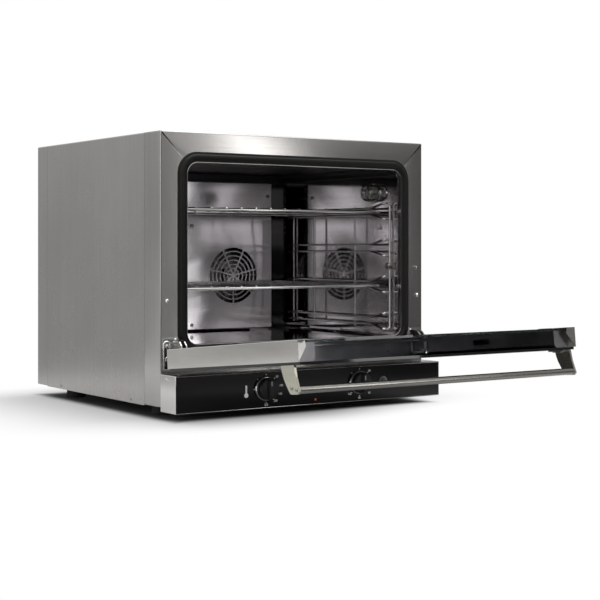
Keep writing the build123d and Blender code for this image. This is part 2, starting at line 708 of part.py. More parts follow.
def wire_shelf(level):
    """A wire shelf: a heavy rounded rim rod with thin cross wires resting across it."""
    rod_z = LEVEL_TOP - level * LEVEL_PITCH - CHANNEL / 2 + WIRE + 0.3 + SHELF_ROD
    front_y = FRONT + 44.0 + SHELF_ROD
    back_y = front_y + SHELF_DEPTH - 2 * SHELF_ROD
    side_x = SHELF_WIDTH / 2 - SHELF_ROD
    wire_z = rod_z + SHELF_ROD + SHELF_WIRE
    right = [(side_x, front_y, rod_z), (side_x, back_y, rod_z)]
    left = [(-side_x, back_y, rod_z), (-side_x, front_y, rod_z)]
    front_middle = (0, front_y, rod_z)
    corners = eased([front_middle, *right, *left, front_middle], SHELF_CORNER)
    rim = ring_rod(corners[:-1], SHELF_ROD, 8)
    with BuildPart() as wires:
        with BuildSketch(facing_front(back_y + 1.0)):
            with Locations((0, wire_z)):
                with GridLocations(2 * side_x / (SHELF_WIRES + 1), 1.0, SHELF_WIRES, 1):
                    RegularPolygon(SHELF_WIRE, WIRE_SIDES)
        extrude(amount=back_y - front_y + 2.0)
    with BuildPart() as brace:
        with BuildSketch(Plane.YZ.offset(SHELF_ROD - side_x)):
            with Locations(((front_y + back_y) / 2, rod_z)):
                RegularPolygon(SHELF_ROD, WIRE_SIDES)
        extrude(amount=2 * (side_x - SHELF_ROD))
    return Compound(children=[rim.solid(), *wires.solids(), brace.part.solid()])


keep("shelf_upper", wire_shelf(0))
keep("shelf_lower", wire_shelf(2))

# Oven lamp on the right wall: ribbed glass cup, steel ring, bulb and socket
LAMP_CUP = 25.0
LAMP_PLANE = Plane(origin=(CAVITY_SIDE, LAMP_Y, LAMP_Z), z_dir=(-1, 0, 0))
with BuildPart() as lamp_glass:
    with BuildSketch(LAMP_PLANE.offset(2.0)):
        RegularPolygon(LAMP_RADIUS - 1.0, ROUND)
    extrude(amount=LAMP_CUP - 2.0)
    chamfer(lamp_glass.faces().sort_by(Axis.X)[0].edges(), length=3.0)
    with BuildSketch(LAMP_PLANE.offset(2.0)):
        RegularPolygon(LAMP_RADIUS - 3.5, ROUND)
    extrude(amount=LAMP_CUP - 4.5, mode=Mode.SUBTRACT)
keep("lamp_glass", lamp_glass.part)

with BuildPart() as lamp_ring:
    with BuildSketch(LAMP_PLANE):
        RegularPolygon(LAMP_RADIUS + 2.5, ROUND)
        RegularPolygon(LAMP_RADIUS - 4.0, ROUND, mode=Mode.SUBTRACT)
    extrude(amount=2.0)
keep("lamp_ring", lamp_ring.part)

with BuildPart() as lamp_socket:
    with BuildSketch(LAMP_PLANE.offset(-CAVITY_SHEET)):
        RegularPolygon(LAMP_RADIUS - 1.0, 12)
    extrude(amount=-27.0)
    with BuildSketch(LAMP_PLANE.offset(-CAVITY_SHEET)):
        RegularPolygon(7.0, 8)
    extrude(amount=-16.0, mode=Mode.SUBTRACT)
keep("lamp_socket", lamp_socket.part)

with BuildPart() as lamp_bulb:
    with BuildSketch(LAMP_PLANE.offset(-16.0)):
        RegularPolygon(6.8, 8)
    extrude(amount=24.0)
    with BuildSketch(LAMP_PLANE.offset(8.0)):
        RegularPolygon(10.0, 12)
    extrude(amount=11.0)
    chamfer(lamp_bulb.faces().sort_by(Axis.X)[0].edges(), length=3.5)
keep("lamp_bulb", lamp_bulb.part)

# Capillary thermostat probe clipped to the left wall beside the baffle
with BuildPart() as thermostat_probe:
    with BuildSketch(facing_front(CAVITY_REAR)):
        with Locations((-CAVITY_SIDE + 12.0, 410.0)):
            RegularPolygon(3.0, 8)
    extrude(amount=95.0)
keep("thermostat_probe", thermostat_probe.part)

# Control panel: a folded stainless box ahead of the cabinet, open at the front
PANEL_MIDDLE = (PANEL_TOP + PANEL_BOTTOM) / 2
PANEL_HEIGHT = PANEL_TOP - PANEL_BOTTOM
GLASS_BACK = PANEL_FACE + PANEL_GLASS
with BuildPart() as control_panel_box:
    with BuildSketch(facing_front(FRONT)):
        with Locations((0, PANEL_MIDDLE)):
            Rectangle(PANEL_WIDTH, PANEL_HEIGHT)
            Rectangle(PANEL_WIDTH - 2 * SHEET, PANEL_HEIGHT - 2 * SHEET, mode=Mode.SUBTRACT)
    extrude(amount=PANEL_DEPTH)
    with BuildSketch(facing_front(FRONT)):
        with Locations((0, PANEL_MIDDLE)):
            Rectangle(PANEL_WIDTH - 2 * SHEET, PANEL_HEIGHT - 2 * SHEET)
            Rectangle(PANEL_WIDTH - 60.0, PANEL_HEIGHT - 16.0, mode=Mode.SUBTRACT)
    extrude(amount=SHEET)
    with BuildSketch(facing_front(PANEL_FACE + PANEL_GLASS + SHEET)):
        with Locations((0, PANEL_MIDDLE)):
            Rectangle(PANEL_WIDTH - 2 * SHEET, PANEL_HEIGHT - 2 * SHEET)
            Rectangle(PANEL_WIDTH - 24.0, PANEL_HEIGHT - 14.0, mode=Mode.SUBTRACT)
    extrude(amount=SHEET)
keep("control_panel_box", control_panel_box.part)

# Black glass fascia set into the front of the control panel
GLASS_MARGIN = 0.2
with BuildPart() as control_glass:
    with BuildSketch(facing_front(GLASS_BACK)):
        with Locations((0, PANEL_MIDDLE)):
            Rectangle(
                PANEL_WIDTH - 2 * SHEET - 2 * GLASS_MARGIN,
                PANEL_HEIGHT - 2 * SHEET - 2 * GLASS_MARGIN,
            )
        with Locations((KNOB_LEFT, KNOB_Z), (KNOB_RIGHT, KNOB_Z)):
            RegularPolygon(5.0, 12, mode=Mode.SUBTRACT)
        with Locations((BUTTON_X, KNOB_Z)):
            RegularPolygon(8.0, ROUND, mode=Mode.SUBTRACT)
        with Locations((0, PILOT_Z)):
            RegularPolygon(2.5, 8, mode=Mode.SUBTRACT)
    extrude(amount=PANEL_GLASS - 0.5)
keep("control_glass", control_glass.part)
GLASS_FACE = GLASS_BACK - PANEL_GLASS + 0.5

# Bright rings round the knobs and the button
BEZEL_OUTER = 23.0
BEZEL_INNER = 19.0
with BuildPart() as knob_bezels:
    with BuildSketch(facing_front(GLASS_FACE)):
        with Locations((KNOB_LEFT, KNOB_Z), (KNOB_RIGHT, KNOB_Z)):
            RegularPolygon(BEZEL_OUTER, ROUND)
    extrude(amount=2.5, taper=30)
    with BuildSketch(facing_front(GLASS_FACE)):
        with Locations((KNOB_LEFT, KNOB_Z), (KNOB_RIGHT, KNOB_Z)):
            RegularPolygon(BEZEL_INNER, ROUND)
    extrude(amount=2.5, mode=Mode.SUBTRACT)
keep("knob_bezels", knob_bezels.part)

with BuildPart() as button_bezel:
    with BuildSketch(facing_front(GLASS_FACE)):
        with Locations((BUTTON_X, KNOB_Z)):
            RegularPolygon(9.8, ROUND)
    extrude(amount=2.0, taper=20)
    with BuildSketch(facing_front(GLASS_BACK + 14.0)):
        with Locations((BUTTON_X, KNOB_Z)):
            RegularPolygon(7.9, ROUND)
    extrude(amount=14.0 + GLASS_BACK - GLASS_FACE)
    with BuildSketch(facing_front(GLASS_BACK + 11.0)):
        with Locations((BUTTON_X, KNOB_Z)):
            RegularPolygon(BUTTON_RADIUS + 0.3, ROUND)
    extrude(amount=30.0, mode=Mode.SUBTRACT)
keep("button_bezel", button_bezel.part)

with BuildPart() as push_button:
    with BuildSketch(facing_front(GLASS_FACE + 6.0)):
        with Locations((BUTTON_X, KNOB_Z)):
            RegularPolygon(BUTTON_RADIUS, ROUND)
    extrude(amount=10.5)
    chamfer(push_button.faces().sort_by(Axis.Y)[0].edges(), length=1.0)
keep("push_button", push_button.part)

with BuildPart() as pilot_lamp:
    with BuildSketch(facing_front(GLASS_BACK + 10.0)):
        with Locations((0, PILOT_Z)):
            RegularPolygon(2.4, 8)
    extrude(amount=10.0 + GLASS_BACK - GLASS_FACE + 1.0)
keep("pilot_lamp", pilot_lamp.part)


# Thermostat and timer bodies behind the glass, each bored for its knob spindle
SPINDLE_END = GLASS_BACK + 26.0


def control_body(x, size_x, size_z, depth):
    """A switch body with a threaded neck against the glass and a bore for its spindle."""
    with BuildPart() as body:
        with BuildSketch(facing_front(GLASS_BACK + depth)):
            with Locations((x, KNOB_Z)):
                Rectangle(size_x, size_z)
        extrude(amount=depth - 7.0)
        with BuildSketch(facing_front(GLASS_BACK + 7.0)):
            with Locations((x, KNOB_Z)):
                RegularPolygon(8.0, 12)
        extrude(amount=7.0)
        with BuildSketch(facing_front(SPINDLE_END + 1.0)):
            with Locations((x, KNOB_Z)):
                Circle(SPINDLE_RADIUS + RUNNING_GAP)
        extrude(amount=SPINDLE_END + 1.0 - GLASS_BACK, mode=Mode.SUBTRACT)
    return body.part


keep("thermostat_body", control_body(KNOB_LEFT, 46.0, 40.0, 34.0))
keep("timer_body", control_body(KNOB_RIGHT, 52.0, 46.0, 42.0))


def control_knob(x):
    """A round knob: skirt, tapered grip with a raised finger bar, and the spindle behind."""
    skirt_back = GLASS_FACE - 0.6
    with BuildPart() as knob:
        with BuildSketch(facing_front(skirt_back)):
            with Locations((x, KNOB_Z)):
                RegularPolygon(BEZEL_INNER - 0.8, ROUND)
        extrude(amount=3.0)
        with BuildSketch(facing_front(skirt_back - 3.0)):
            with Locations((x, KNOB_Z)):
                RegularPolygon(KNOB_RADIUS, ROUND)
        extrude(amount=KNOB_DEPTH - 9.0, taper=3)
        chamfer(knob.faces().sort_by(Axis.Y)[0].edges(), length=1.5)
        with BuildSketch(facing_front(skirt_back - KNOB_DEPTH + 6.5)):
            with Locations((x, KNOB_Z)):
                Rectangle(9.0, 2 * KNOB_RADIUS - 6.0)
        extrude(amount=6.5, taper=6)
        with BuildSketch(facing_front(SPINDLE_END)):
            with Locations((x, KNOB_Z)):
                Circle(SPINDLE_RADIUS)
        extrude(amount=SPINDLE_END - skirt_back + 1.0)
    return knob.part


keep("knob_temperature", control_knob(KNOB_LEFT))
keep("knob_timer", control_knob(KNOB_RIGHT))

# Terminal block on the base pan, behind the cable gland
with BuildPart() as terminal_block:
    with BuildSketch(Plane.XY.offset(BOTTOM + PAN_WALL)):
        with Locations((GLAND_X - 20.0, BACK - 90.0)):
            Rectangle(60.0, 32.0)
    extrude(amount=24.0)
    with BuildSketch(Plane.XY.offset(BOTTOM + PAN_WALL + 18.0)):
        with Locations((GLAND_X - 20.0, BACK - 90.0)):
            with GridLocations(16.0, 1.0, 3, 1):
                Rectangle(11.0, 22.0)
    extrude(amount=8.0, mode=Mode.SUBTRACT)
keep("terminal_block", terminal_block.part)

# Door switch: a sprung pin in a collar on the right of the frame, with its body behind
with BuildPart() as door_switch_body:
    with BuildSketch(facing_front(FRONT)):
        with Locations((SWITCH_X, SWITCH_Z)):
            RegularPolygon(4.5, 12)
    extrude(amount=1.5)
    with BuildSketch(facing_front(FRONT + 7.0)):
        with Locations((SWITCH_X, SWITCH_Z)):
            RegularPolygon(SWITCH_SLEEVE, 8)
    extrude(amount=7.0)
    with BuildSketch(facing_front(FRONT + 7.0)):
        with Locations((SWITCH_X, SWITCH_Z)):
            RegularPolygon(PLUNGER_RADIUS + RUNNING_GAP, 12)
    extrude(amount=9.0, mode=Mode.SUBTRACT)
keep("door_switch_body", door_switch_body.part)

with BuildPart() as door_switch_plunger:
    with BuildSketch(facing_front(FRONT + 2.0)):
        with Locations((SWITCH_X, SWITCH_Z)):
            RegularPolygon(PLUNGER_RADIUS, 12)
    extrude(amount=7.5)
    chamfer(door_switch_plunger.faces().sort_by(Axis.Y)[0].edges(), length=0.6)
keep("door_switch_plunger", door_switch_plunger.part)

# Hinge brackets on the cabinet: a base plate with two rounded cheeks
CHEEK = 2.5
CHEEK_HALF = 6.2
BRACKET_TOP = 142.0
BRACKET_BOTTOM = 86.0
BRACKET_NOSE = 9.4
NOSE_Y = HINGE_Y - BRACKET_NOSE
NOSE_DIAGONAL = BRACKET_NOSE * cos(radians(45))
with BuildPart() as hinge_bracket:
    for x in (HINGE_X - CHEEK_HALF, HINGE_X + CHEEK_HALF - CHEEK):
        with BuildSketch(Plane.YZ.offset(x)):
            with BuildLine():
                Polyline(
                    (HINGE_Y, HINGE_Z - BRACKET_NOSE),
                    (FRONT - 12.0, HINGE_Z - BRACKET_NOSE),
                    (FRONT, BRACKET_BOTTOM),
                    (FRONT, BRACKET_TOP),
                    (FRONT - 22.0, BRACKET_TOP),
                    (NOSE_Y + 9.0, BRACKET_TOP - 2.5),
                    (NOSE_Y + 2.5, BRACKET_TOP - 9.0),
                    (NOSE_Y, BRACKET_TOP - 18.0),
                    (NOSE_Y, HINGE_Z),
                    (HINGE_Y - NOSE_DIAGONAL, HINGE_Z - NOSE_DIAGONAL),
                    close=True,
                )
            make_face()
            with Locations((HINGE_Y, HINGE_Z)):
                RegularPolygon(HINGE_PIN, 8, mode=Mode.SUBTRACT)
        extrude(amount=CHEEK)
    with BuildSketch(facing_front(FRONT)):
        with Locations((HINGE_X, (BRACKET_TOP + BRACKET_BOTTOM) / 2)):
            Rectangle(2 * CHEEK_HALF, BRACKET_TOP - BRACKET_BOTTOM)
    extrude(amount=2.0)
keep("hinge_brackets", both_sides(hinge_bracket.part))

# Hinge pins: round between the cheeks, with flats where they are riveted through them
with BuildPart() as hinge_pin:
    with BuildSketch(Plane.YZ.offset(HINGE_X - CHEEK_HALF + CHEEK)):
        with Locations((HINGE_Y, HINGE_Z)):
            Circle(HINGE_PIN)
    extrude(amount=2 * (CHEEK_HALF - CHEEK))
    for x in (HINGE_X - CHEEK_HALF, HINGE_X + CHEEK_HALF - CHEEK):
        with BuildSketch(Plane.YZ.offset(x)):
            with Locations((HINGE_Y, HINGE_Z)):
                RegularPolygon(HINGE_PIN, 8)
        extrude(amount=CHEEK)
    for x in (HINGE_X - CHEEK_HALF - 1.5, HINGE_X + CHEEK_HALF):
        with BuildSketch(Plane.YZ.offset(x)):
            with Locations((HINGE_Y, HINGE_Z)):
                RegularPolygon(HINGE_PIN + 2.0, 8)
        extrude(amount=1.5)
keep("hinge_pins", both_sides(hinge_pin.part))

# Hinge arms of the door: a thick leaf that turns on the pin and runs up inside the stile
STILE_WALL = 1.2
ARM_HALF = CHEEK_HALF - CHEEK - 0.4
ARM_EYE = 9.0
ARM_LEAF_Y = HINGE_Y + 8.0
ARM_LEAF = 12.0
ARM_LUG_LOW = HINGE_Z + 54.0
ARM_TOP = HINGE_Z + 110.0
ARM_SEAT = DOOR_OUTER + STILE_WALL
with BuildPart() as hinge_arm:
    with BuildSketch(Plane.YZ.offset(HINGE_X - ARM_HALF)):
        with Locations((HINGE_Y, HINGE_Z)):
            RegularPolygon(ARM_EYE, ROUND)
        with Locations((ARM_LEAF_Y, (HINGE_Z + ARM_TOP) / 2)):
            Rectangle(ARM_LEAF, ARM_TOP - HINGE_Z)
        with Locations(((ARM_LEAF_Y + ARM_SEAT) / 2, (ARM_LUG_LOW + ARM_TOP) / 2)):
            Rectangle(ARM_LEAF_Y - ARM_SEAT, ARM_TOP - ARM_LUG_LOW)
        with Locations((HINGE_Y, HINGE_Z)):
            Circle(HINGE_PIN + RUNNING_GAP, mode=Mode.SUBTRACT)
    extrude(amount=2 * ARM_HALF)
keep("hinge_arms", opened(both_sides(hinge_arm.part)))

# Door stile: a box section with a glass rebate, closed by a plate at its top end
STILE_INNER_X = DOOR_SIDE - STILE_WIDTH
SKIN = 1.0
STILE_OUTER_X = DOOR_SIDE - SKIN
REBATE_X = 274.0
REBATE = 5.0
STILE_BOTTOM = DOOR_BOTTOM + 2.0
STILE_TOP = DOOR_TOP - 12.0
BRACKET_SLOT = 16.4
BRACKET_SLOT_TOP = BRACKET_TOP + 8.0
BRACKET_SLOT_LENGTH = 80.0
BRACKET_SLOT_MIDDLE = BRACKET_SLOT_TOP - BRACKET_SLOT_LENGTH / 2


def stile_profile(inset):
    """The stile's section in the plan plane, drawn a wall thickness inside its outside."""
    left = STILE_INNER_X + inset
    right = STILE_OUTER_X - inset
    inner = DOOR_INNER - SKIN - inset
    seat = DOOR_INNER - REBATE - inset
    outer = DOOR_OUTER + inset
    round_end = 5.0 - inset
    with BuildSketch(mode=Mode.PRIVATE) as section_sketch:
        with BuildLine():
            Polyline(
                (left, outer + round_end),
                (left, seat),
                (REBATE_X + inset, seat),
                (REBATE_X + inset, inner),
                (right, inner),
                (right, outer),
                (left + round_end, outer),
                close=True,
            )
        make_face()
    return section_sketch.sketch


SLOT_LENGTH = 33.0
SLOT_LOW = DOOR_BOTTOM + 20.0
CLIP_SLOT_LOW = DOOR_BOTTOM + 186.0
CLIP_SLOT_LENGTH = 45.0
with BuildPart() as door_stile:
    with BuildSketch(Plane.XY.offset(STILE_BOTTOM)):
        add(stile_profile(0))
        add(stile_profile(STILE_WALL), mode=Mode.SUBTRACT)
    extrude(amount=STILE_TOP - STILE_BOTTOM - STILE_WALL)
    with BuildSketch(Plane.XY.offset(STILE_TOP - STILE_WALL)):
        add(stile_profile(0))
    extrude(amount=STILE_WALL)
    with BuildSketch(facing_front(DOOR_INNER)):
        with Locations((HINGE_X, BRACKET_SLOT_MIDDLE)):
            Rectangle(BRACKET_SLOT, BRACKET_SLOT_LENGTH)
    extrude(amount=12.0, mode=Mode.SUBTRACT)
    with BuildSketch(Plane.YZ.offset(STILE_INNER_X - 1.0)):
        with Locations((DOOR_OUTER + 8.0, SLOT_LOW + SLOT_LENGTH / 2)):
            Rectangle(9.0, SLOT_LENGTH)
    extrude(amount=STILE_WIDTH + 2.0, mode=Mode.SUBTRACT)
    with BuildSketch(Plane.YZ.offset(STILE_INNER_X - 1.0)):
        with Locations((DOOR_OUTER + 17.0, CLIP_SLOT_LOW + CLIP_SLOT_LENGTH / 2)):
            Rectangle(10.0, CLIP_SLOT_LENGTH)
    extrude(amount=STILE_WALL + 2.0, mode=Mode.SUBTRACT)
keep_pair("door_stile", opened(door_stile.part))

# Door side skin: polished cover of the stile with a return and a tapered end tab
RETURN = 20.0
with BuildPart() as door_skin:
    with BuildSketch(Plane.XY.offset(DOOR_BOTTOM)):
        with Locations((DOOR_SIDE - SKIN / 2, (DOOR_INNER + DOOR_OUTER) / 2)):
            Rectangle(SKIN, DOOR_FRAME_DEPTH)
        with Locations((DOOR_SIDE - RETURN / 2, DOOR_INNER - SKIN / 2)):
            Rectangle(RETURN, SKIN)
    extrude(amount=DOOR_LENGTH)
    with BuildSketch(Plane.XY.offset(DOOR_TOP - SKIN)):
        with BuildLine():
            Polyline(
                (DOOR_SIDE, DOOR_INNER),
                (DOOR_SIDE - RETURN, DOOR_INNER),
                (DOOR_SIDE - RETURN, DOOR_INNER - 11.0),
                (DOOR_SIDE - SKIN, DOOR_OUTER),
                (DOOR_SIDE, DOOR_OUTER),
                close=True,
            )
        make_face()
    extrude(amount=SKIN)
    with BuildSketch(Plane.YZ.offset(DOOR_SIDE - SKIN)):
        with Locations((DOOR_OUTER + 8.0, SLOT_LOW + SLOT_LENGTH / 2)):
            Rectangle(9.0, SLOT_LENGTH)
    extrude(amount=SKIN, mode=Mode.SUBTRACT)
    with BuildSketch(facing_front(DOOR_INNER)):
        with Locations((HINGE_X, BRACKET_SLOT_MIDDLE)):
            Rectangle(BRACKET_SLOT, BRACKET_SLOT_LENGTH)
    extrude(amount=SKIN, mode=Mode.SUBTRACT)
keep_pair("door_skin", opened(door_skin.part))

# Bottom rail between the stiles, an open channel at the hinge end
with BuildPart() as door_bottom_rail:
    with BuildSketch(Plane.YZ.offset(-STILE_INNER_X)):
        with Locations(((DOOR_INNER - REBATE + DOOR_OUTER) / 2, STILE_BOTTOM + 12.0)):
            Rectangle(DOOR_FRAME_DEPTH - REBATE, 24.0)
        with Locations(((DOOR_INNER - REBATE + DOOR_OUTER) / 2, STILE_BOTTOM + 12.0 + STILE_WALL)):
            Rectangle(DOOR_FRAME_DEPTH - REBATE - 2 * STILE_WALL, 24.0, mode=Mode.SUBTRACT)
    extrude(amount=2 * STILE_INNER_X)
keep("door_bottom_rail", opened(door_bottom_rail.part))

# Outer glass across the whole door, and the inner pane seated in the rebates
OUTER_GLASS_SIDE = 290.3
with BuildPart() as door_outer_glass:
    with BuildSketch(facing_front(DOOR_OUTER)):
        with Locations((0, (DOOR_BOTTOM + DOOR_TOP) / 2)):
            Rectangle(2 * OUTER_GLASS_SIDE, DOOR_LENGTH - 3.0)
    extrude(amount=GLASS)
keep("door_outer_glass", opened(door_outer_glass.part))

INNER_PANE = 4.0
PANE_BOTTOM = STILE_BOTTOM + 12.0
PANE_TOP = STILE_TOP - 3.0
with BuildPart() as door_inner_glass:
    with BuildSketch(facing_front(DOOR_INNER - REBATE + INNER_PANE)):
        with Locations((0, (PANE_BOTTOM + PANE_TOP) / 2)):
            Rectangle(2 * REBATE_X - 1.0, PANE_TOP - PANE_BOTTOM)
        for side in (-1, 1):
            with Locations((side * HINGE_X, BRACKET_SLOT_MIDDLE)):
                Rectangle(BRACKET_SLOT + 6.0, BRACKET_SLOT_LENGTH, mode=Mode.SUBTRACT)
    extrude(amount=INNER_PANE)
keep("door_inner_glass", opened(door_inner_glass.part))

# Glass clips: small stepped plates that hold the inner pane to the stiles
CLIP_Z = (183.0, 330.0, 450.0)
with BuildPart() as glass_clips:
    with BuildSketch(facing_front(DOOR_INNER)):
        for z in CLIP_Z:
            with Locations((REBATE_X + 4.0, z)):
                Rectangle(20.0, 14.0)
    extrude(amount=-0.6)
    with BuildSketch(facing_front(DOOR_INNER)):
        for z in CLIP_Z:
            with Locations((REBATE_X - 3.0, z)):
                Rectangle(6.0, 14.0)
    extrude(amount=SKIN)
keep("glass_clips", opened(both_sides(glass_clips.part)))

# Handle: two swept steel arms, a round tube between them and their screws
BAR_Y = GLASS_OUTER - HANDLE_OUT
TIP_Y = BAR_Y - 6.6
with BuildPart() as handle_arm:
    with BuildSketch(Plane.YZ.offset(DOOR_SIDE - HANDLE_PLATE)):
        with BuildLine():
            Polyline(
                (GLASS_OUTER, ARM_FOOT_LOW),
                (GLASS_OUTER - 10.0, ARM_FOOT_LOW + 2.0),
                (GLASS_OUTER - 20.0, ARM_FOOT_LOW + 6.0),
                (GLASS_OUTER - 30.0, ARM_FOOT_LOW + 12.0),
                (TIP_Y + 4.0, HANDLE_Z - 20.0),
                (TIP_Y + 1.0, HANDLE_Z - 17.0),
                (TIP_Y, HANDLE_Z - 13.0),
                (TIP_Y, HANDLE_Z + 3.0),
                (TIP_Y + 4.0, HANDLE_Z + 7.0),
                (GLASS_OUTER - 32.0, ARM_FOOT_HIGH + 7.5),
                (GLASS_OUTER - 18.0, ARM_FOOT_HIGH + 3.0),
                (GLASS_OUTER, ARM_FOOT_HIGH),
                close=True,
            )
        make_face()
    extrude(amount=HANDLE_PLATE)
    with BuildSketch(facing_front(GLASS_OUTER)):
        with Locations((DOOR_SIDE - ARM_FOOT_LENGTH / 2, (ARM_FOOT_LOW + ARM_FOOT_HIGH) / 2)):
            Rectangle(ARM_FOOT_LENGTH, ARM_FOOT_HIGH - ARM_FOOT_LOW)
    extrude(amount=2.5)
keep_pair("handle_arm", opened(handle_arm.part))

BAR_HALF = DOOR_SIDE - HANDLE_PLATE
with BuildPart() as handle_bar:
    with BuildSketch(Plane.YZ.offset(-BAR_HALF)):
        with Locations((BAR_Y, HANDLE_Z)):
            RegularPolygon(HANDLE_TUBE, ROUND)
    extrude(amount=2 * BAR_HALF)
keep("handle_bar", opened(handle_bar.part))

side_places = [(DOOR_SIDE, BAR_Y, HANDLE_Z), (DOOR_SIDE, BAR_Y + 2.9, HANDLE_Z - 12.8)]
side_screws = heads(side_places, (1, 0, 0), 3.0, 1.4)
foot_screws = heads(
    [(DOOR_SIDE - 13.0, GLASS_OUTER - 2.5, z) for z in (ARM_FOOT_LOW + 8.0, ARM_FOOT_HIGH - 8.0)],
    (0, -1, 0),
    3.5,
    2.0,
)
handle_screws = Compound(children=[*side_screws.solids(), *foot_screws.solids()])
keep("handle_screws", opened(both_sides(handle_screws)))
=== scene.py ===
import math

import bmesh
import bpy
from mathutils import Matrix, Vector


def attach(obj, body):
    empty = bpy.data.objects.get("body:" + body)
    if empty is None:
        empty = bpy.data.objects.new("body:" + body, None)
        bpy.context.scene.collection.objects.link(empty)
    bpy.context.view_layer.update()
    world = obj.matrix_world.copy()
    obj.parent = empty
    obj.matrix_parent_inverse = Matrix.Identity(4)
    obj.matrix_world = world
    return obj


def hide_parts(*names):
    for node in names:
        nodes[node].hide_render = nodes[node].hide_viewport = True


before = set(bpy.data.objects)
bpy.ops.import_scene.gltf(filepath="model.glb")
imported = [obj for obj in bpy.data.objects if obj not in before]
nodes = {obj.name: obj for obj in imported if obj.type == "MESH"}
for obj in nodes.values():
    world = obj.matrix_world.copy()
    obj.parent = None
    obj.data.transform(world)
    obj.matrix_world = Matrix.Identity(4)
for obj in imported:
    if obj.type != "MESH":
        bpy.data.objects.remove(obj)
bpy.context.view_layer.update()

# Counter and studio. A pale counter that fades into a white studio. Metal doesn't show that white:
# it shows a grey room, darkest ahead at the right, under a bright ceiling that dims to the right.
# Under the oven the counter's colour is dark, as a painted shadow.
FOOTPRINT_MIDDLE = (0, -0.027, 0)
FOOTPRINT_HALF = (0.2975, 0.293, 0)
PAINTED_SHADOW_UNDER_OVEN = 0.08
OPEN_COUNTER = 0.84
DARKEST_WAY = (0.35, -0.94, 0.0)
GLOW_WAY = (0.26, -0.966, 0.0)


def node(tree, kind, sockets=None, **settings):
    """A new node of a material or a geometry tree; each socket is given a value or a link."""
    made = tree.nodes.new(kind)
    for setting, value in settings.items():
        setattr(made, setting, value)
    for socket, value in (sockets or {}).items():
        if isinstance(value, bpy.types.NodeSocket):
            tree.links.new(value, made.inputs[socket])
        else:
            made.inputs[socket].default_value = value
    return made


def eased(tree, value, low, high, start, end):
    """A value that eases from start to end while another goes from low to high."""
    ease = node(tree, "ShaderNodeMapRange", {
        "Value": value, "From Min": low, "From Max": high, "To Min": start, "To Max": end,
    }, interpolation_type="SMOOTHSTEP")
    return ease.outputs["Result"]


def blended(tree, factor, start, end):
    """A number between two others."""
    mix = node(tree, "ShaderNodeMix", {"Factor": factor, "A": start, "B": end})
    return mix.outputs["Result"]


def worked(tree, operation, *numbers):
    """The result of one operation on two or three numbers."""
    numbers = dict(enumerate(numbers))
    return node(tree, "ShaderNodeMath", numbers, operation=operation).outputs["Value"]


def times(tree, *tones):
    """Numbers multiplied together."""
    product = tones[0]
    for tone in tones[1:]:
        product = worked(tree, "MULTIPLY", product, tone)
    return product


def compared(tree, operation, result, *vectors):
    """A result of one operation on one or two vectors."""
    vectors = dict(enumerate(vectors))
    return node(tree, "ShaderNodeVectorMath", vectors, operation=operation).outputs[result]


def grey_room(tree, direction):
    """How bright the room looks in metal towards a direction along the counter, with a soft glow
    towards the rear on either side and a narrower one ahead."""
    ahead = compared(tree, "DOT_PRODUCT", "Value", direction, DARKEST_WAY)
    flank = times(
        tree, eased(tree, ahead, -0.96, -0.80, 0, 0.24), eased(tree, ahead, -0.6, -0.2, 1, 0)
    )
    towards_glow = compared(tree, "DOT_PRODUCT", "Value", direction, GLOW_WAY)
    card = eased(tree, towards_glow, 0.94, 0.995, 0, 0.22)
    room = eased(tree, ahead, -0.30, 0.97, 0.41, 0.09)
    return worked(tree, "ADD", worked(tree, "ADD", room, flank), card)


counter_mesh = bpy.data.meshes.new("counter")
counter_mesh.from_pydata([(-9, -7, 0), (9, -7, 0), (9, 11, 0), (-9, 11, 0)], [], [(0, 1, 2, 3)])
counter = bpy.data.objects.new("counter", counter_mesh)
bpy.context.scene.collection.objects.link(counter)
pale_counter = bpy.data.materials.new("pale_counter")
pale_counter.use_nodes = True
tree = pale_counter.node_tree
matte = tree.nodes["Principled BSDF"]
matte.inputs["Roughness"].default_value = 0.9
place = node(tree, "ShaderNodeTexCoord").outputs["Object"]
outward = compared(tree, "NORMALIZE", "Vector", place)
from_middle = compared(tree, "SUBTRACT", "Vector", place, FOOTPRINT_MIDDLE)
folded = compared(tree, "ABSOLUTE", "Vector", from_middle)
past_edge = compared(tree, "SUBTRACT", "Vector", folded, FOOTPRINT_HALF)
over = node(tree, "ShaderNodeSeparateXYZ", {"Vector": past_edge}).outputs
outside = worked(tree, "MAXIMUM", over["X"], over["Y"])
across = worked(tree, "MAXIMUM", over["X"], 0.0)
ahead = worked(tree, "MAXIMUM", worked(tree, "MULTIPLY_ADD", over["Y"], 1.3, 0.14), 0.0)
off_edge = node(tree, "ShaderNodeCombineXYZ", {"X": across, "Y": ahead}).outputs["Vector"]
off_edge = compared(tree, "LENGTH", "Value", off_edge)
at = node(tree, "ShaderNodeSeparateXYZ", {"Vector": place}).outputs["X"]
# Painted shadow edge: the white glow takes over from the cast shadow with distance from the
# footprint, sooner towards the right, so the counter is painted lighter on that side.
lit = worked(tree, "ADD", off_edge, eased(tree, at, -0.05, 0.35, 0.0, 0.14))
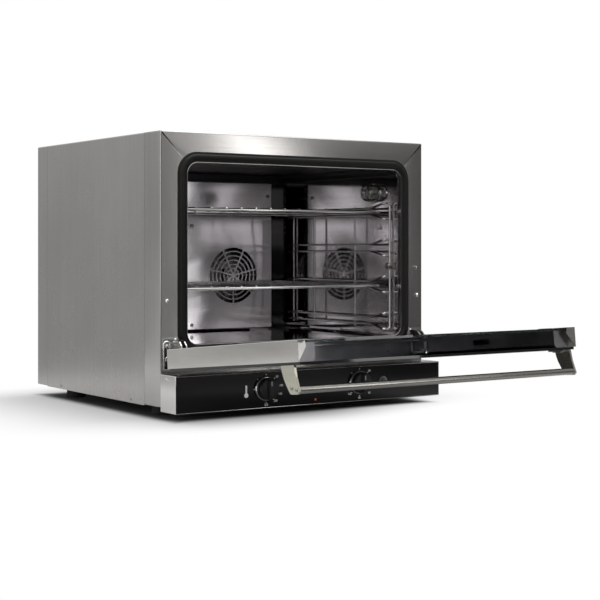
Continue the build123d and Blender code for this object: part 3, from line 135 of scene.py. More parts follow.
# Painted shadow: the counter's colour is dark under the oven's footprint and pale beyond its edge.
painted_shadow = eased(tree, outside, -0.02, 0.02, PAINTED_SHADOW_UNDER_OVEN, OPEN_COUNTER)
shade = node(tree, "ShaderNodeCombineXYZ", {"X": painted_shadow, "Y": painted_shadow, "Z": painted_shadow})
tree.links.new(shade.outputs["Vector"], matte.inputs["Base Color"])
path = node(tree, "ShaderNodeLightPath").outputs
in_metal = path["Is Glossy Ray"]
fade = times(tree, eased(tree, lit, 0.04, 0.36, 0, 1), eased(tree, outside, -0.035, 0.006, 0, 1))
fade = blended(tree, in_metal, fade, eased(tree, off_edge, 0.35, 0.95, 0, 1))
strength = blended(tree, in_metal, 1.0, grey_room(tree, outward))
glow = node(tree, "ShaderNodeEmission", {"Strength": strength})
mix = node(
    tree, "ShaderNodeMixShader", {0: fade, 1: matte.outputs["BSDF"], 2: glow.outputs["Emission"]}
)
tree.links.new(mix.outputs["Shader"], tree.nodes["Material Output"].inputs["Surface"])
counter_mesh.materials.append(pale_counter)

studio = bpy.data.worlds.new("studio")
bpy.context.scene.world = studio
studio.use_nodes = True
tree = studio.node_tree
path = node(tree, "ShaderNodeLightPath").outputs
heading = node(tree, "ShaderNodeTexCoord").outputs["Generated"]
leans = node(tree, "ShaderNodeSeparateXYZ", {"Vector": heading}).outputs
ceiling = eased(tree, leans["X"], 0.48, 0.66, 0.95, 0.34)
in_metal = blended(
    tree, eased(tree, leans["Z"], 0.03, 0.50, 0, 1), grey_room(tree, heading), ceiling
)
clear = worked(tree, "MAXIMUM", path["Is Camera Ray"], path["Is Transmission Ray"])
strength = blended(tree, clear, blended(tree, path["Is Glossy Ray"], 0.60, in_metal), 1.0)
tree.links.new(strength, tree.nodes["Background"].inputs["Strength"])
tree.nodes["Background"].inputs["Color"].default_value = (1, 1, 1, 1)


def soft_box(name, place, aim, width, height, power):
    """An area lamp of a given size, turned towards a point."""
    lamp = bpy.data.lights.new(name, "AREA")
    lamp.shape = "RECTANGLE"
    lamp.size = width
    lamp.size_y = height
    lamp.energy = power
    holder = bpy.data.objects.new(name, lamp)
    holder.location = place
    holder.rotation_euler = (Vector(aim) - Vector(place)).to_track_quat("-Z", "Y").to_euler()
    bpy.context.scene.collection.objects.link(holder)


soft_box("top_soft_box", (0.3, -0.4, 2.6), (0.1, 0, 0.3), 2.4, 1.8, 40)
soft_box("left_strip", (-2.7, -0.85, 0.85), (-0.3, -0.2, 0.3), 0.5, 1.7, 7)
soft_box("front_strip", (1.51, -2.8, 0.80), (0, -0.2, 0.35), 0.24, 1.3, 3.1)
soft_box("near_camera", (-1.79, -3.05, 0.46), (0, -0.2, 0.38), 0.38, 0.30, 0.5)

camera_lens = bpy.data.cameras.new("camera")
camera_lens.lens = 85.08
camera_lens.sensor_width = 36.0
camera_lens.shift_y = -0.09
camera_lens.clip_end = 60.0
camera = bpy.data.objects.new("camera", camera_lens)
camera.location = (-1.5056, -2.484, 0.3085)
camera.rotation_euler = (math.radians(90), 0, -math.atan2(0.562, 0.827))
bpy.context.scene.collection.objects.link(camera)
bpy.context.scene.camera = camera
bpy.context.scene.view_settings.view_transform = "Standard"

# Outer cover. One sheet of brushed stainless steel folded over both sides and the top. The grain
# runs up the sides and across the top, with faint streaks and cloudy marks from wiping.
FRONT = -266.0
BACK = 266.0
TOP = 514.0
BOTTOM = 22.0
SIDE = 297.5
STEEL = (0.455, 0.440, 0.428)


def marks(tree, place, scale, detail, amount, stretch=(1.0, 1.0, 1.0)):
    """Soft uneven marks: the noise itself, and a tone about one."""
    laid = node(tree, "ShaderNodeMapping", {"Vector": place, "Scale": stretch})
    noise = node(tree, "ShaderNodeTexNoise", {
        "Vector": laid.outputs["Vector"], "Scale": scale, "Detail": detail, "Roughness": 0.6,
    }).outputs["Fac"]
    tone = node(tree, "ShaderNodeMapRange", {
        "Value": noise, "From Min": 0.3, "From Max": 0.7,
        "To Min": 1.0 - amount, "To Max": 1.0 + amount,
    })
    return noise, tone.outputs["Result"]


def surface(name, colour, rough, tone_of, **fixed):
    """A shader of one colour and roughness, both uneven. tone_of gives the tone of the colour, the
    tone of the roughness, and the height, strength and depth of its relief, if it has any."""
    stuff = bpy.data.materials.new(name)
    stuff.use_nodes = True
    tree = stuff.node_tree
    face = tree.nodes["Principled BSDF"]
    for socket, value in fixed.items():
        face.inputs[socket.replace("_", " ")].default_value = value
    tone, gloss, height, strength, depth = tone_of(tree)
    shade = node(tree, "ShaderNodeVectorMath", {0: colour, "Scale": tone}, operation="SCALE")
    rougher = node(
        tree, "ShaderNodeMath", {0: gloss, 1: rough}, operation="MULTIPLY", use_clamp=True
    )
    tree.links.new(shade.outputs["Vector"], face.inputs["Base Color"])
    tree.links.new(rougher.outputs["Value"], face.inputs["Roughness"])
    if strength:
        relief = node(tree, "ShaderNodeBump", {
            "Height": height, "Strength": strength, "Distance": depth,
        })
        tree.links.new(relief.outputs["Normal"], face.inputs["Normal"])
    return stuff


def brushed_steel(name, colour, rough, turn=0.55, cloud=0.04, streak=0.03, scratch=0.05):
    """Steel brushed one way. Its scratches follow the piece's own map, and glints spread across
    them; wiping has left soft clouds."""
    def brushed(tree):
        place = node(tree, "ShaderNodeTexCoord").outputs
        hair, hairs = marks(tree, place["UV"], 1.0, 3.0, scratch, (1100.0, 9.0, 1.0))
        streaks = marks(tree, place["UV"], 1.0, 3.0, streak, (130.0, 1.2, 1.0))[1]
        clouds = marks(tree, place["Object"], 3.5, 3.0, cloud)[1]
        smears = marks(tree, place["Object"], 6.0, 4.0, 0.12)[1]
        return times(tree, hairs, streaks, clouds), smears, hair, 0.02, 0.0001

    metal = surface(name, colour, rough, brushed, Metallic=1.0, Anisotropic=turn)
    tree = metal.node_tree
    grain = node(tree, "ShaderNodeTangent", direction_type="UV_MAP")
    tree.links.new(grain.outputs["Tangent"], tree.nodes["Principled BSDF"].inputs["Tangent"])
    return metal


def rounded(corners, radius, steps=5, closed=True):
    """The points of a bent path or outline, with each corner rounded to a radius."""
    points = []
    for index, corner in enumerate(corners):
        here = Vector(corner)
        if not closed and index in (0, len(corners) - 1):
            points.append(here)
            continue
        back = (Vector(corners[index - 1]) - here).normalized()
        ahead = (Vector(corners[(index + 1) % len(corners)]) - here).normalized()
        half = back.angle(ahead) / 2
        centre = here + (back + ahead).normalized() * radius / math.sin(half)
        arm = here + back * radius / math.tan(half) - centre
        axis = back.cross(ahead)
        for step in range(steps + 1):
            turned_by = -(math.pi - 2 * half) * step / steps
            points.append(centre + Matrix.Rotation(turned_by, 3, axis) @ arm)
    return points


def loft(shape, rings, closed=True):
    """Joins each ring of points to the next with a band of faces, and returns the new vertices."""
    made = [[shape.verts.new(point) for point in ring] for ring in rings]
    for low, high in zip(made, made[1:]):
        count = len(low)
        for index in range(count if closed else count - 1):
            after = (index + 1) % count
            shape.faces.new((low[index], low[after], high[after], high[index]))
    return made


def settled(holder):
    """The shape of a temporary object with its modifiers at work; the object is then removed."""
    bpy.context.scene.collection.objects.link(holder)
    bpy.context.view_layer.update()
    shape = bmesh.new()
    whole = holder.evaluated_get(bpy.context.evaluated_depsgraph_get())
    shape.from_mesh(bpy.data.meshes.new_from_object(whole))
    bpy.data.objects.remove(holder)
    return shape


def sheet_metal(shape, thickness, middle):
    """Gives an open skin its sheet thickness, inwards, where inwards is towards the middle."""
    bmesh.ops.remove_doubles(shape, verts=shape.verts, dist=0.01)
    shape.normal_update()
    for face in shape.faces:
        if face.normal.dot(face.calc_center_median() - Vector(middle)) < 0:
            face.normal_flip()
    mesh = bpy.data.meshes.new("skin")
    shape.to_mesh(mesh)
    shape.free()
    holder = bpy.data.objects.new("skin", mesh)
    wall = holder.modifiers.new("wall", "SOLIDIFY")
    wall.thickness = thickness
    wall.offset = -1.0
    wall.use_even_offset = True
    return settled(holder)


def upright_grain(normal, middle):
    """Grain that runs up a wall, or across a level sheet."""
    return Vector((1, 0, 0)) if abs(normal.z) > 0.7 else Vector((0, 0, 1))


def finish_piece(shape, name, body, stands_for, finish, grain=upright_grain, smooth=32):
    """Makes a finished piece of a shape drawn in millimetres: closes its seams, turns its faces
    outwards, lays its grain, and fixes it to the body that carries it."""
    bmesh.ops.remove_doubles(shape, verts=shape.verts, dist=0.002)
    bmesh.ops.recalc_face_normals(shape, faces=shape.faces)
    bmesh.ops.scale(shape, vec=(0.001, 0.001, 0.001), verts=shape.verts)
    shape.normal_update()
    lay = shape.loops.layers.uv.verify()
    for face in shape.faces:
        along = grain(face.normal, face.calc_center_median())
        across = face.normal.cross(along)
        if across.length < 0.05:
            along = Vector((0, 1, 0))
            across = face.normal.cross(along)
        across.normalize()
        for corner in face.loops:
            corner[lay].uv = (corner.vert.co.dot(across), corner.vert.co.dot(along))
        face.smooth = True
    mesh = bpy.data.meshes.new(name)
    shape.to_mesh(mesh)
    shape.free()
    mesh.set_sharp_from_angle(angle=math.radians(smooth))
    for metal in finish if isinstance(finish, list) else [finish]:
        mesh.materials.append(metal)
    piece = bpy.data.objects.new(name, mesh)
    bpy.context.scene.collection.objects.link(piece)
    if stands_for:
        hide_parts(*stands_for)
    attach(piece, body)
    return piece


case_steel = brushed_steel("case_steel", STEEL, 0.27)
cover_front = FRONT + 60.5
cover_back = BACK - 49.5
cover_low = BOTTOM - 1.5
fold = [(-SIDE, 0, cover_low), (-SIDE, 0, TOP), (SIDE, 0, TOP), (SIDE, 0, cover_low)]
bent = rounded(fold, 2.4, closed=False)
shape = bmesh.new()
loft(shape, [[p + Vector((0, y, 0)) for p in bent] for y in (cover_front, cover_back)], False)
finish_piece(
    sheet_metal(shape, 1.0, (0, 0, 250)),
    "outer_cover", "cabinet", ["cabinet_cover"], case_steel,
)

# Front frame. Four mitred borders of brushed steel round the mouth, each folded back over the
# cabinet's edge, with a bright rolled lip inside. The grain turns at each mitre.
MOUTH_HALF = 244.2
MOUTH_RISE = 164.9
MOUTH_ROUND = 22.0
MOUTH_MIDDLE = 295.2
FOLD = 2.6
frame_steel = brushed_steel("frame_steel", STEEL, 0.20, turn=0.75, cloud=0.06)
lip_steel = brushed_steel("lip_steel", (0.60, 0.59, 0.58), 0.14, turn=0.3)


def soft_outline(half, rise, radius, middle, y, steps=8):
    """A rectangle with rounded corners, upright across the oven at depth y."""
    corners = [(half, rise), (-half, rise), (-half, -rise), (half, -rise)]
    points = []
    for quarter, (x, z) in enumerate(corners):
        pull = Vector((math.copysign(radius, x), 0, math.copysign(radius, z)))
        centre = Vector((x, y, middle + z)) - pull
        for step in range(steps + 1):
            angle = math.radians(90 * (quarter + step / steps))
            points.append(centre + Vector((math.cos(angle), 0, math.sin(angle))) * radius)
    return points


def border(shape, quarter):
    """One border of the frame, between two mitres, with the fold along its outer edge."""
    steps = 8
    mouth = soft_outline(MOUTH_HALF, MOUTH_RISE, MOUTH_ROUND, MOUTH_MIDDLE, FRONT, steps)
    half_height = (TOP - BOTTOM) / 2
    outer = soft_outline(SIDE, half_height, 2.4, (TOP + BOTTOM) / 2, FRONT, steps)
    ends = steps // 2
    first = quarter * (steps + 1) + ends
    picked = [(first + index) % len(mouth) for index in range(steps + 2)]
    inner_line = [mouth[index] for index in picked]
    outer_line = [outer[index] for index in picked]
    along = (outer_line[-1] - outer_line[0]).normalized()
    outward = Vector((0, 1, 0)).cross(along)
    if outward.dot(outer_line[0] - Vector((0, FRONT, 270))) < 0:
        outward.negate()
    line = []
    for inner, edge in zip(inner_line, outer_line):
        out = (edge - inner).normalized()
        near = edge - outward * FOLD
        rows = [inner, near]
        for step in range(1, 5):
            angle = math.radians(90 * step / 4)
            drop = Vector((0, FOLD * (1 - math.cos(angle)), 0))
            rows.append(near + outward * FOLD * math.sin(angle) + drop)
        rows.append(edge + Vector((0, 60.0 if quarter != 2 else 12.0, 0)))
        line.append(rows)
    groove = Vector((0, 0.35, 0))
    for end, toward in ((0, 1), (-1, -1)):
        shifted = [point + along * toward * 0.7 for point in line[end]]
        line[end] = [line[end][0] + groove, line[end][1] + groove, *line[end][2:]]
        line.insert(1 if end == 0 else -1, shifted)
    loft(shape, line, closed=False)


for quarter, border_name in enumerate(
    ("top_border", "left_border", "bottom_border", "right_border")
):
    shape = bmesh.new()
    border(shape, quarter)
    level = quarter in (0, 2)
    finish_piece(
        sheet_metal(shape, 1.0, (0, 0, 270)),
        border_name, "cabinet", ["front_frame"], frame_steel,
        grain=lambda normal, middle, level=level: Vector((1, 0, 0)) if level else Vector((0, 0, 1)),
    )

shape = bmesh.new()
lip = ((0.0, 9.0), (0.0, -1.2), (0.25, -1.75), (0.75, -2.0), (1.25, -1.75), (1.5, -1.2), (1.5, 9.0))
rings = [
    soft_outline(MOUTH_HALF - w, MOUTH_RISE - w, MOUTH_ROUND - w, MOUTH_MIDDLE, FRONT + y)
    for w, y in lip
]
loft(shape, [*rings, rings[0]])
finish_piece(shape, "mouth_lip", "cabinet", ["front_frame"], lip_steel)

# Door gasket. An extruded black silicone profile: two thin flanges and a hollow bulb between them,
# pressed on round the mouth.
GASKET_HALF = 262.5
GASKET_RISE = 183.2
GASKET_ROUND = 40.0


def grained(name, colour, rough, speck=0.12, scale=900.0, bump=0.15, metal=0.0, shine=0.5):
    """A cast or moulded material with a fine all-over grain and slightly uneven tone."""
    def moulded(tree):
        place = node(tree, "ShaderNodeTexCoord").outputs["Object"]
        fine = marks(tree, place, scale, 3.0, 0.1)[0]
        tone = marks(tree, place, 14.0, 3.0, speck)[1]
        gloss = marks(tree, place, 9.0, 3.0, 0.15)[1]
        return tone, gloss, fine, bump, 0.0002

    return surface(name, colour, rough, moulded, Metallic=metal, Specular_IOR_Level=shine)


black_silicone = grained("black_silicone", (0.009, 0.009, 0.008), 0.42, shine=0.22)
profile = [(0, 0), (0, 1.2), (0.6, 1.7), (3.2, 1.7), (4.0, 2.0)]
for step in range(9):
    angle = math.radians(180 - 22.5 * step)
    profile.append((9.0 + 4.6 * math.cos(angle), 2.2 + 3.0 * math.sin(angle)))
profile += [(14.0, 2.0), (14.8, 1.7), (17.4, 1.7), (18.0, 1.2), (18.0, 0)]
rings = [
    soft_outline(GASKET_HALF - w, GASKET_RISE - w, GASKET_ROUND - w, MOUTH_MIDDLE, FRONT - h)
    for w, h in profile
]
shape = bmesh.new()
loft(shape, [*rings, rings[0]])
finish_piece(
    shape, "mouth_gasket", "cabinet", ["door_gasket"], black_silicone, smooth=40
)


# Oven cavity. Bright-polished stainless steel, nearly a mirror but slightly wavy, with a faint film
# of heat tint; the shell is one pressed box behind the frame. Its ceiling and the zone behind the
# baffle are painted darker, as painted shade.
def polished_steel(name, colour, rough, wave=0.35, tint=0.08, stretch=(3.0, 3.0, 40.0), painted_shade=None):
    """Mirror-bright sheet, slightly wavy, with a brushed trace and cloudy tint. Above a height and
    beyond a depth it may be painted darker, to stand in for shade."""
    def polished(tree):
        place = node(tree, "ShaderNodeTexCoord").outputs["Object"]
        tone = marks(tree, place, 1.0, 4.0, tint, stretch)[1]
        gloss = marks(tree, place, 5.0, 3.0, 0.25)[1]
        waves = marks(tree, place, 7.0, 1.0, 0.1)[0]
        if painted_shade:
            place = node(tree, "ShaderNodeSeparateXYZ", {"Vector": place}).outputs
            high, deep, left = painted_shade
            lower = eased(tree, place["Z"], high, high + 0.004, 1, 0)
            bare = times(tree, lower, eased(tree, place["Y"], deep, deep + 0.004, 1, 0))
            tone = times(tree, tone, blended(tree, bare, left, 1.0))
            gloss = times(tree, gloss, blended(tree, lower, 7.0, 1.0))
        return tone, gloss, waves, wave, 0.0016

    return surface(name, colour, rough, polished, Metallic=1.0)


def finish_node(name, finish):
    """Gives a carried-over solid its finish."""
    nodes[name].data.materials.clear()
    nodes[name].data.materials.append(finish)


# Painted shade: above 447 mm and behind a depth of 152 mm the cavity's colour is darkened to 16 %,
# and above that height it is also rougher.
SHADE_ABOVE = 0.447
SHADE_BEHIND = 0.152
SHADE_LEFT = 0.16
cavity_steel = polished_steel(
    "cavity_steel", (0.64, 0.62, 0.63), 0.07, painted_shade=(SHADE_ABOVE, SHADE_BEHIND, SHADE_LEFT)
)
finish_node("cavity_shell", cavity_steel)

# Insulation and base. A blanket of yellow-grey mineral wool wraps the cavity, and a zinc-coated
# pan closes the underside.
mineral_wool = grained("mineral_wool", (0.42, 0.37, 0.24), 0.95, speck=0.3, scale=350.0, bump=0.9)
zinc_sheet = grained(
    "zinc_sheet", (0.34, 0.35, 0.36), 0.42, speck=0.18, scale=60.0, bump=0.1, metal=1.0
)
finish_node("insulation_blanket", mineral_wool)
finish_node("base_pan", zinc_sheet)


# Rear panel. A brushed sheet folded forward over the sides and top, pressed with two banks of
# louvres that cool the motors behind it.
def growing_tree(name, inputs):
    """A geometry tree with named inputs, and its first and last nodes."""
    tree = bpy.data.node_groups.new(name, "GeometryNodeTree")
    tree.is_modifier = True
    geometry = "NodeSocketGeometry"
    tree.interface.new_socket("Geometry", in_out="OUTPUT", socket_type=geometry)
    tree.interface.new_socket("Geometry", in_out="INPUT", socket_type=geometry)
    for label, kind in inputs:
        tree.interface.new_socket(label, in_out="INPUT", socket_type="NodeSocket" + kind)
    return tree, tree.nodes.new("NodeGroupInput"), tree.nodes.new("NodeGroupOutput")


def close_tree(tree, given, last, geometry):
    """Ends a tree: its instances become real faces, with the finish asked for."""
    real = node(tree, "GeometryNodeRealizeInstances", {"Geometry": geometry})
    coat = node(tree, "GeometryNodeSetMaterial", {
        "Geometry": real.outputs["Geometry"], "Material": given.outputs["Finish"],
    })
    tree.links.new(coat.outputs["Geometry"], last.inputs["Geometry"])


def grown(tree, values, base=None):
    """The shape that a tree makes, as a plain one."""
    holder = bpy.data.objects.new("grown", base or bpy.data.meshes.new("grown"))
    growth = holder.modifiers.new("growth", "NODES")
    growth.node_group = tree
    for item in tree.interface.items_tree:
        if item.in_out == "INPUT" and item.name in values:
            growth[item.identifier] = values[item.name]
    return settled(holder)


def temporary(shape, name):
    """A shape as an object that a tree can copy, taken away again once it has."""
    mesh = bpy.data.meshes.new(name)
    bmesh.ops.recalc_face_normals(shape, faces=shape.faces)
    shape.to_mesh(mesh)
    shape.free()
    holder = bpy.data.objects.new(name, mesh)
    bpy.context.scene.collection.objects.link(holder)
    return holder


def cut_plate(outlines, thickness):
    """A flat plate of an outline with holes, drawn across and up, its front at zero depth."""
    curve = bpy.data.curves.new("plate", "CURVE")
    curve.dimensions = "2D"
    curve.fill_mode = "BOTH"
    curve.extrude = thickness / 2
    for outline in outlines:
        spline = curve.splines.new("POLY")
        spline.points.add(len(outline) - 1)
        for point, (across, up) in zip(spline.points, outline):
            point.co = (across, up, 0, 1)
        spline.use_cyclic_u = True
    shape = settled(bpy.data.objects.new("plate", curve))
    stand = Matrix(((1, 0, 0, 0), (0, 0, -1, thickness / 2), (0, 1, 0, 0), (0, 0, 0, 1)))
    bmesh.ops.transform(shape, matrix=stand, verts=shape.verts)
    bmesh.ops.remove_doubles(shape, verts=shape.verts, dist=0.001)
    return shape


def round_hole(x, z, radius, sides=32):
    """The outline of a round hole."""
    turns = [2 * math.pi * step / sides for step in range(sides)]
    return [(x + radius * math.cos(turn), z + radius * math.sin(turn)) for turn in turns]


def joined(*shapes):
    """Several shapes as one."""
    whole = shapes[0]
    for extra in shapes[1:]:
        mesh = bpy.data.meshes.new("extra")
        extra.to_mesh(mesh)
        extra.free()
        whole.from_mesh(mesh)
        bpy.data.meshes.remove(mesh)
    return whole


LOUVRE_LENGTH = 170.0
LOUVRE_ROWS = 7
LOUVRE_PITCH = 20.0
REAR_FOLD = 2.4
slots = []
for bank in (-135.0, 135.0):
    for row in range(LOUVRE_ROWS):
        z = 250.0 + (row - 3) * LOUVRE_PITCH
        half = LOUVRE_LENGTH / 2
        slots.append(
            [(bank - half, z - 4), (bank + half, z - 4), (bank + half, z + 4), (bank - half, z + 4)]
        )
rear_edge = [(p.x, p.z) for p in rounded(
    [
        (-SIDE + 2, 0, BOTTOM), (SIDE - 2, 0, BOTTOM), (SIDE - 2, 0, TOP - 2),
        (-SIDE + 2, 0, TOP - 2)
    ], 1.0
)]
plate = cut_plate([rear_edge, *slots, round_hole(-225, 470, 15.2), round_hole(225, 62, 9.2)], 1.0)
bmesh.ops.translate(plate, vec=(0, BACK - 1.0, 0), verts=plate.verts)
shape = bmesh.new()
rear_fold = [(-SIDE, 0, BOTTOM), (-SIDE, 0, TOP), (SIDE, 0, TOP), (SIDE, 0, BOTTOM)]
rings = []
for step in range(6):
    angle = math.radians(90 * step / 5)
    pull = REAR_FOLD * (1 - math.sin(angle))
    inset = [
        (x - math.copysign(pull, x), y, z - (pull if z > BOTTOM else 0)) for x, y, z in rear_fold
    ]
    depth = BACK - REAR_FOLD * (1 - math.cos(angle))
    rings.append([p + Vector((0, depth, 0)) for p in rounded(inset, 2.4, closed=False)])
rings.append([p + Vector((0, BACK - 49.0, 0)) for p in rounded(rear_fold, 2.4, closed=False)])
loft(shape, rings, closed=False)
wrap = sheet_metal(shape, 1.0, (0, 0, 250))

tree, given, last = growing_tree("louvre_banks", [
    ("Louvre", "Object"), (
        "Bank Spacing", "Float"
    ), ("Rows", "Int"), ("Pitch", "Float"), ("Finish", "Material"),
])
asked = given.outputs
gaps = worked(tree, "SUBTRACT", asked["Rows"], 1.0)
grid = node(tree, "GeometryNodeMeshGrid", {
    "Vertices X": 2, "Vertices Y": asked["Rows"],
    "Size X": asked["Bank Spacing"], "Size Y": times(tree, gaps, asked["Pitch"]),
})
stand = node(tree, "GeometryNodeTransform", {
    "Geometry": grid.outputs["Mesh"], "Rotation": (math.radians(90), 0, 0),
})
model = node(tree, "GeometryNodeObjectInfo", {"Object": asked["Louvre"]})
spread = node(tree, "GeometryNodeInstanceOnPoints", {
    "Points": stand.outputs["Geometry"], "Instance": model.outputs["Geometry"],
})
close_tree(tree, given, last, spread.outputs["Instances"])

louvre = bmesh.new()
rings = []
for step in range(13):
    share = step / 12
    x = (share - 0.5) * (LOUVRE_LENGTH + 2)
    swell = math.sin(math.pi * share) ** 0.28 if 0 < step < 12 else 0.0
    hood = [(0.0, 5.2), (1.2, 4.4), (3.4, 1.5), (5.0, -3.4)]
    outside = [(x, y * swell, z if swell else 5.2 - (5.2 - z)) for y, z in hood]
    inside = [(x, max(y * swell - 1.0, -0.6), z - 0.3) for y, z in reversed(hood)]
    rings.append(outside + inside)
ends = loft(louvre, rings)
for ring in (ends[0], ends[-1]):
    louvre.faces.new(ring)
model = temporary(louvre, "louvre")
values = {
    "Louvre": model, "Bank Spacing": 270.0, "Rows": LOUVRE_ROWS, "Pitch": LOUVRE_PITCH,
    "Finish": case_steel
}
louvres = grown(tree, values)
bpy.data.objects.remove(model)
bmesh.ops.translate(louvres, vec=(0, BACK, 250.0), verts=louvres.verts)
finish_piece(
    joined(
        wrap, plate, louvres
    ), "back_panel", "cabinet", ["rear_panel"], case_steel
)


# Screws. Pan heads with a cross recess, zinc plated: low on both sides of the cover and down the
# back, on the baffle, and on the handle's feet.
def turned(shape, profile, sides=28, star=()):
    """A shape turned on its axis from a profile of radius and height; rings named in the star are
    drawn in to a cross, for a screwdriver."""
    rings = []
    for index, (radius, height) in enumerate(profile):
        ring = []
        for step in range(sides):
            turn = 2 * math.pi * step / sides
            pinch = (1.0, 0.55, 0.42, 0.55)[step % 4] if index in star else 1.0
            ring.append((radius * pinch * math.cos(turn), radius * pinch * math.sin(turn), height))
        rings.append(ring)
    made = loft(shape, rings)
    for ring in (made[0], made[-1]):
        shape.faces.new(ring)
    return shape


screw_tree, given, last = growing_tree("screws_on_points", [
    ("Head", "Object"), ("Facing", "Vector"), ("Finish", "Material"),
])
asked = given.outputs
model = node(screw_tree, "GeometryNodeObjectInfo", {"Object": asked["Head"]})
facing = node(screw_tree, "FunctionNodeAlignRotationToVector", {"Vector": asked["Facing"]})
spread = node(screw_tree, "GeometryNodeInstanceOnPoints", {
    "Points": asked["Geometry"], "Instance": model.outputs["Geometry"],
    "Rotation": facing.outputs["Rotation"],
})
close_tree(screw_tree, given, last, spread.outputs["Instances"])


def screws(places, facing, radius, height, finish):
    """Screw heads on the given points, all facing one way."""
    profile = [(radius, 0), (radius, height * 0.35), (radius * 0.93, height * 0.65)]
    profile += [
        (radius * 0.75, height * 0.9), (radius * 0.6, height), (radius * 0.45, height * 0.6)
    ]
    head = temporary(turned(bmesh.new(), profile, 16, star=(4, 5)), "screw_head")
    points = bpy.data.meshes.new("screw_places")
    points.from_pydata(places, [], [])
    made = grown(screw_tree, {"Head": head, "Facing": facing, "Finish": finish}, points)
    bpy.data.objects.remove(head)
    return made


screw_steel = grained(
    "screw_steel", (0.40, 0.39, 0.37), 0.28, speck=0.1, scale=700, bump=0.1, metal=1.0
)
heads = []
for side in (-1, 1):
    low = [(side * SIDE, y, cover_low + 7.0) for y in (FRONT + 112.0, FRONT + 417.0)]
    back = [
        (side * (SIDE - 12.0), BACK, z) for z in (BOTTOM + 30.0, (TOP + BOTTOM) / 2, TOP - 14.0)
    ]
    heads.append(screws(low, (side, 0, 0), 3.0, 1.2, screw_steel))
    heads.append(screws(back, (0, 1, 0), 3.2, 1.6, screw_steel))
finish_piece(
    joined(*heads), "cabinet_screws", "cabinet", ["case_screws"], screw_steel
)

# Feet. Moulded black rubber, tapered, with a rounded tread edge.
foot_rubber = grained("foot_rubber", (0.012, 0.012, 0.012), 0.72, scale=500.0, bump=0.4)
foot_profile = [
    (17.5, 0.0), (19.4, 0.5), (19.9, 1.8), (19.6, 4.0), (18.4, 12.0), (17.4, 18.0), (17.0, 22.0)
]
shape = bmesh.new()
for x in (-250.0, 250.0):
    for y in (FRONT + 80.0, FRONT + 447.0):
        foot = turned(bmesh.new(), foot_profile, 40)
        bmesh.ops.translate(foot, vec=(x, y, 0), verts=foot.verts)
        shape = joined(shape, foot)
finish_piece(shape, "rubber_feet", "cabinet", ["feet"], foot_rubber)

# Rear fittings. A stainless steam outlet with a rolled end, and a nylon cable gland with its nut;
# the terminal block sits behind the gland.
pipe_steel = polished_steel("pipe_steel", (0.34, 0.33, 0.32), 0.22, wave=0.0)
shape = turned(bmesh.new(), [
    (12.5, -32.0), (14.2, -32.0), (14.2, 0.0), (20.0, 0.0), (20.0, 1.4), (19.4, 2.0), (15.0, 2.0),
    (14.2, 3.0), (14.0, 4.0), (14.0, 28.8), (13.6, 29.7), (13.0, 30.0), (12.5, 29.4), (12.5, -31.9),
], 48)
point_back = Matrix.Rotation(math.radians(-90), 4, "X")
bmesh.ops.transform(
    shape, matrix=Matrix.Translation((-225, BACK, 470)) @ point_back, verts=shape.verts
)
finish_piece(shape, "steam_pipe", "cabinet", ["vent_pipe"], pipe_steel)

nylon = grained("gland_nylon", (0.020, 0.020, 0.021), 0.45, scale=600.0)
shape = turned(bmesh.new(), [(13.0, 0.0), (13.0, 5.2), (12.2, 6.0), (10.2, 6.0)], 6)
dome = [(9.9, 6.0), (10.0, 12.0), (9.4, 15.6), (8.2, 17.5), (6.6, 18.0), (5.5, 17.4), (5.5, -12.0)]
dome = turned(bmesh.new(), [(9.0, -12.0), (9.0, 0.0), *dome], 36)
shape = joined(shape, dome)
bmesh.ops.transform(
    shape, matrix=Matrix.Translation((225, BACK, 62)) @ point_back, verts=shape.verts
)
finish_piece(shape, "supply_gland", "cabinet", ["cable_gland"], nylon)
terminal_plastic = grained("terminal_plastic", (0.30, 0.28, 0.24), 0.5)
finish_node("terminal_block", terminal_plastic)

# Fan baffle. A folded stainless plate ahead of the fans, punched over each with six rings of
# arc slots, seven to a ring, and screwed to four posts.
BAFFLE_FRONT = FRONT + 407.0
BAFFLE_LOW = 131.0
BAFFLE_HIGH = 445.0
BAFFLE_HALF = 203.0
GRILLE_RINGS = 6
SLOTS_ROUND = 7
FAN_X = 103.5
FAN_Z = 245.0
baffle_steel = brushed_steel("baffle_steel", (0.62, 0.595, 0.615), 0.15, turn=0.4)


def copied_round(tree, count, share, form):
    """Copies of a form, each turned a share further about the middle."""
    turns = node(tree, "GeometryNodeMeshLine", {"Count": count, "Offset": (0, 0, 0)})
    number = node(tree, "GeometryNodeInputIndex").outputs["Index"]
    spin = node(tree, "ShaderNodeCombineXYZ", {"Z": times(tree, number, share)})
    return node(tree, "GeometryNodeInstanceOnPoints", {
        "Points": turns.outputs["Mesh"], "Instance": form, "Rotation": spin.outputs["Vector"],
    }).outputs["Instances"]


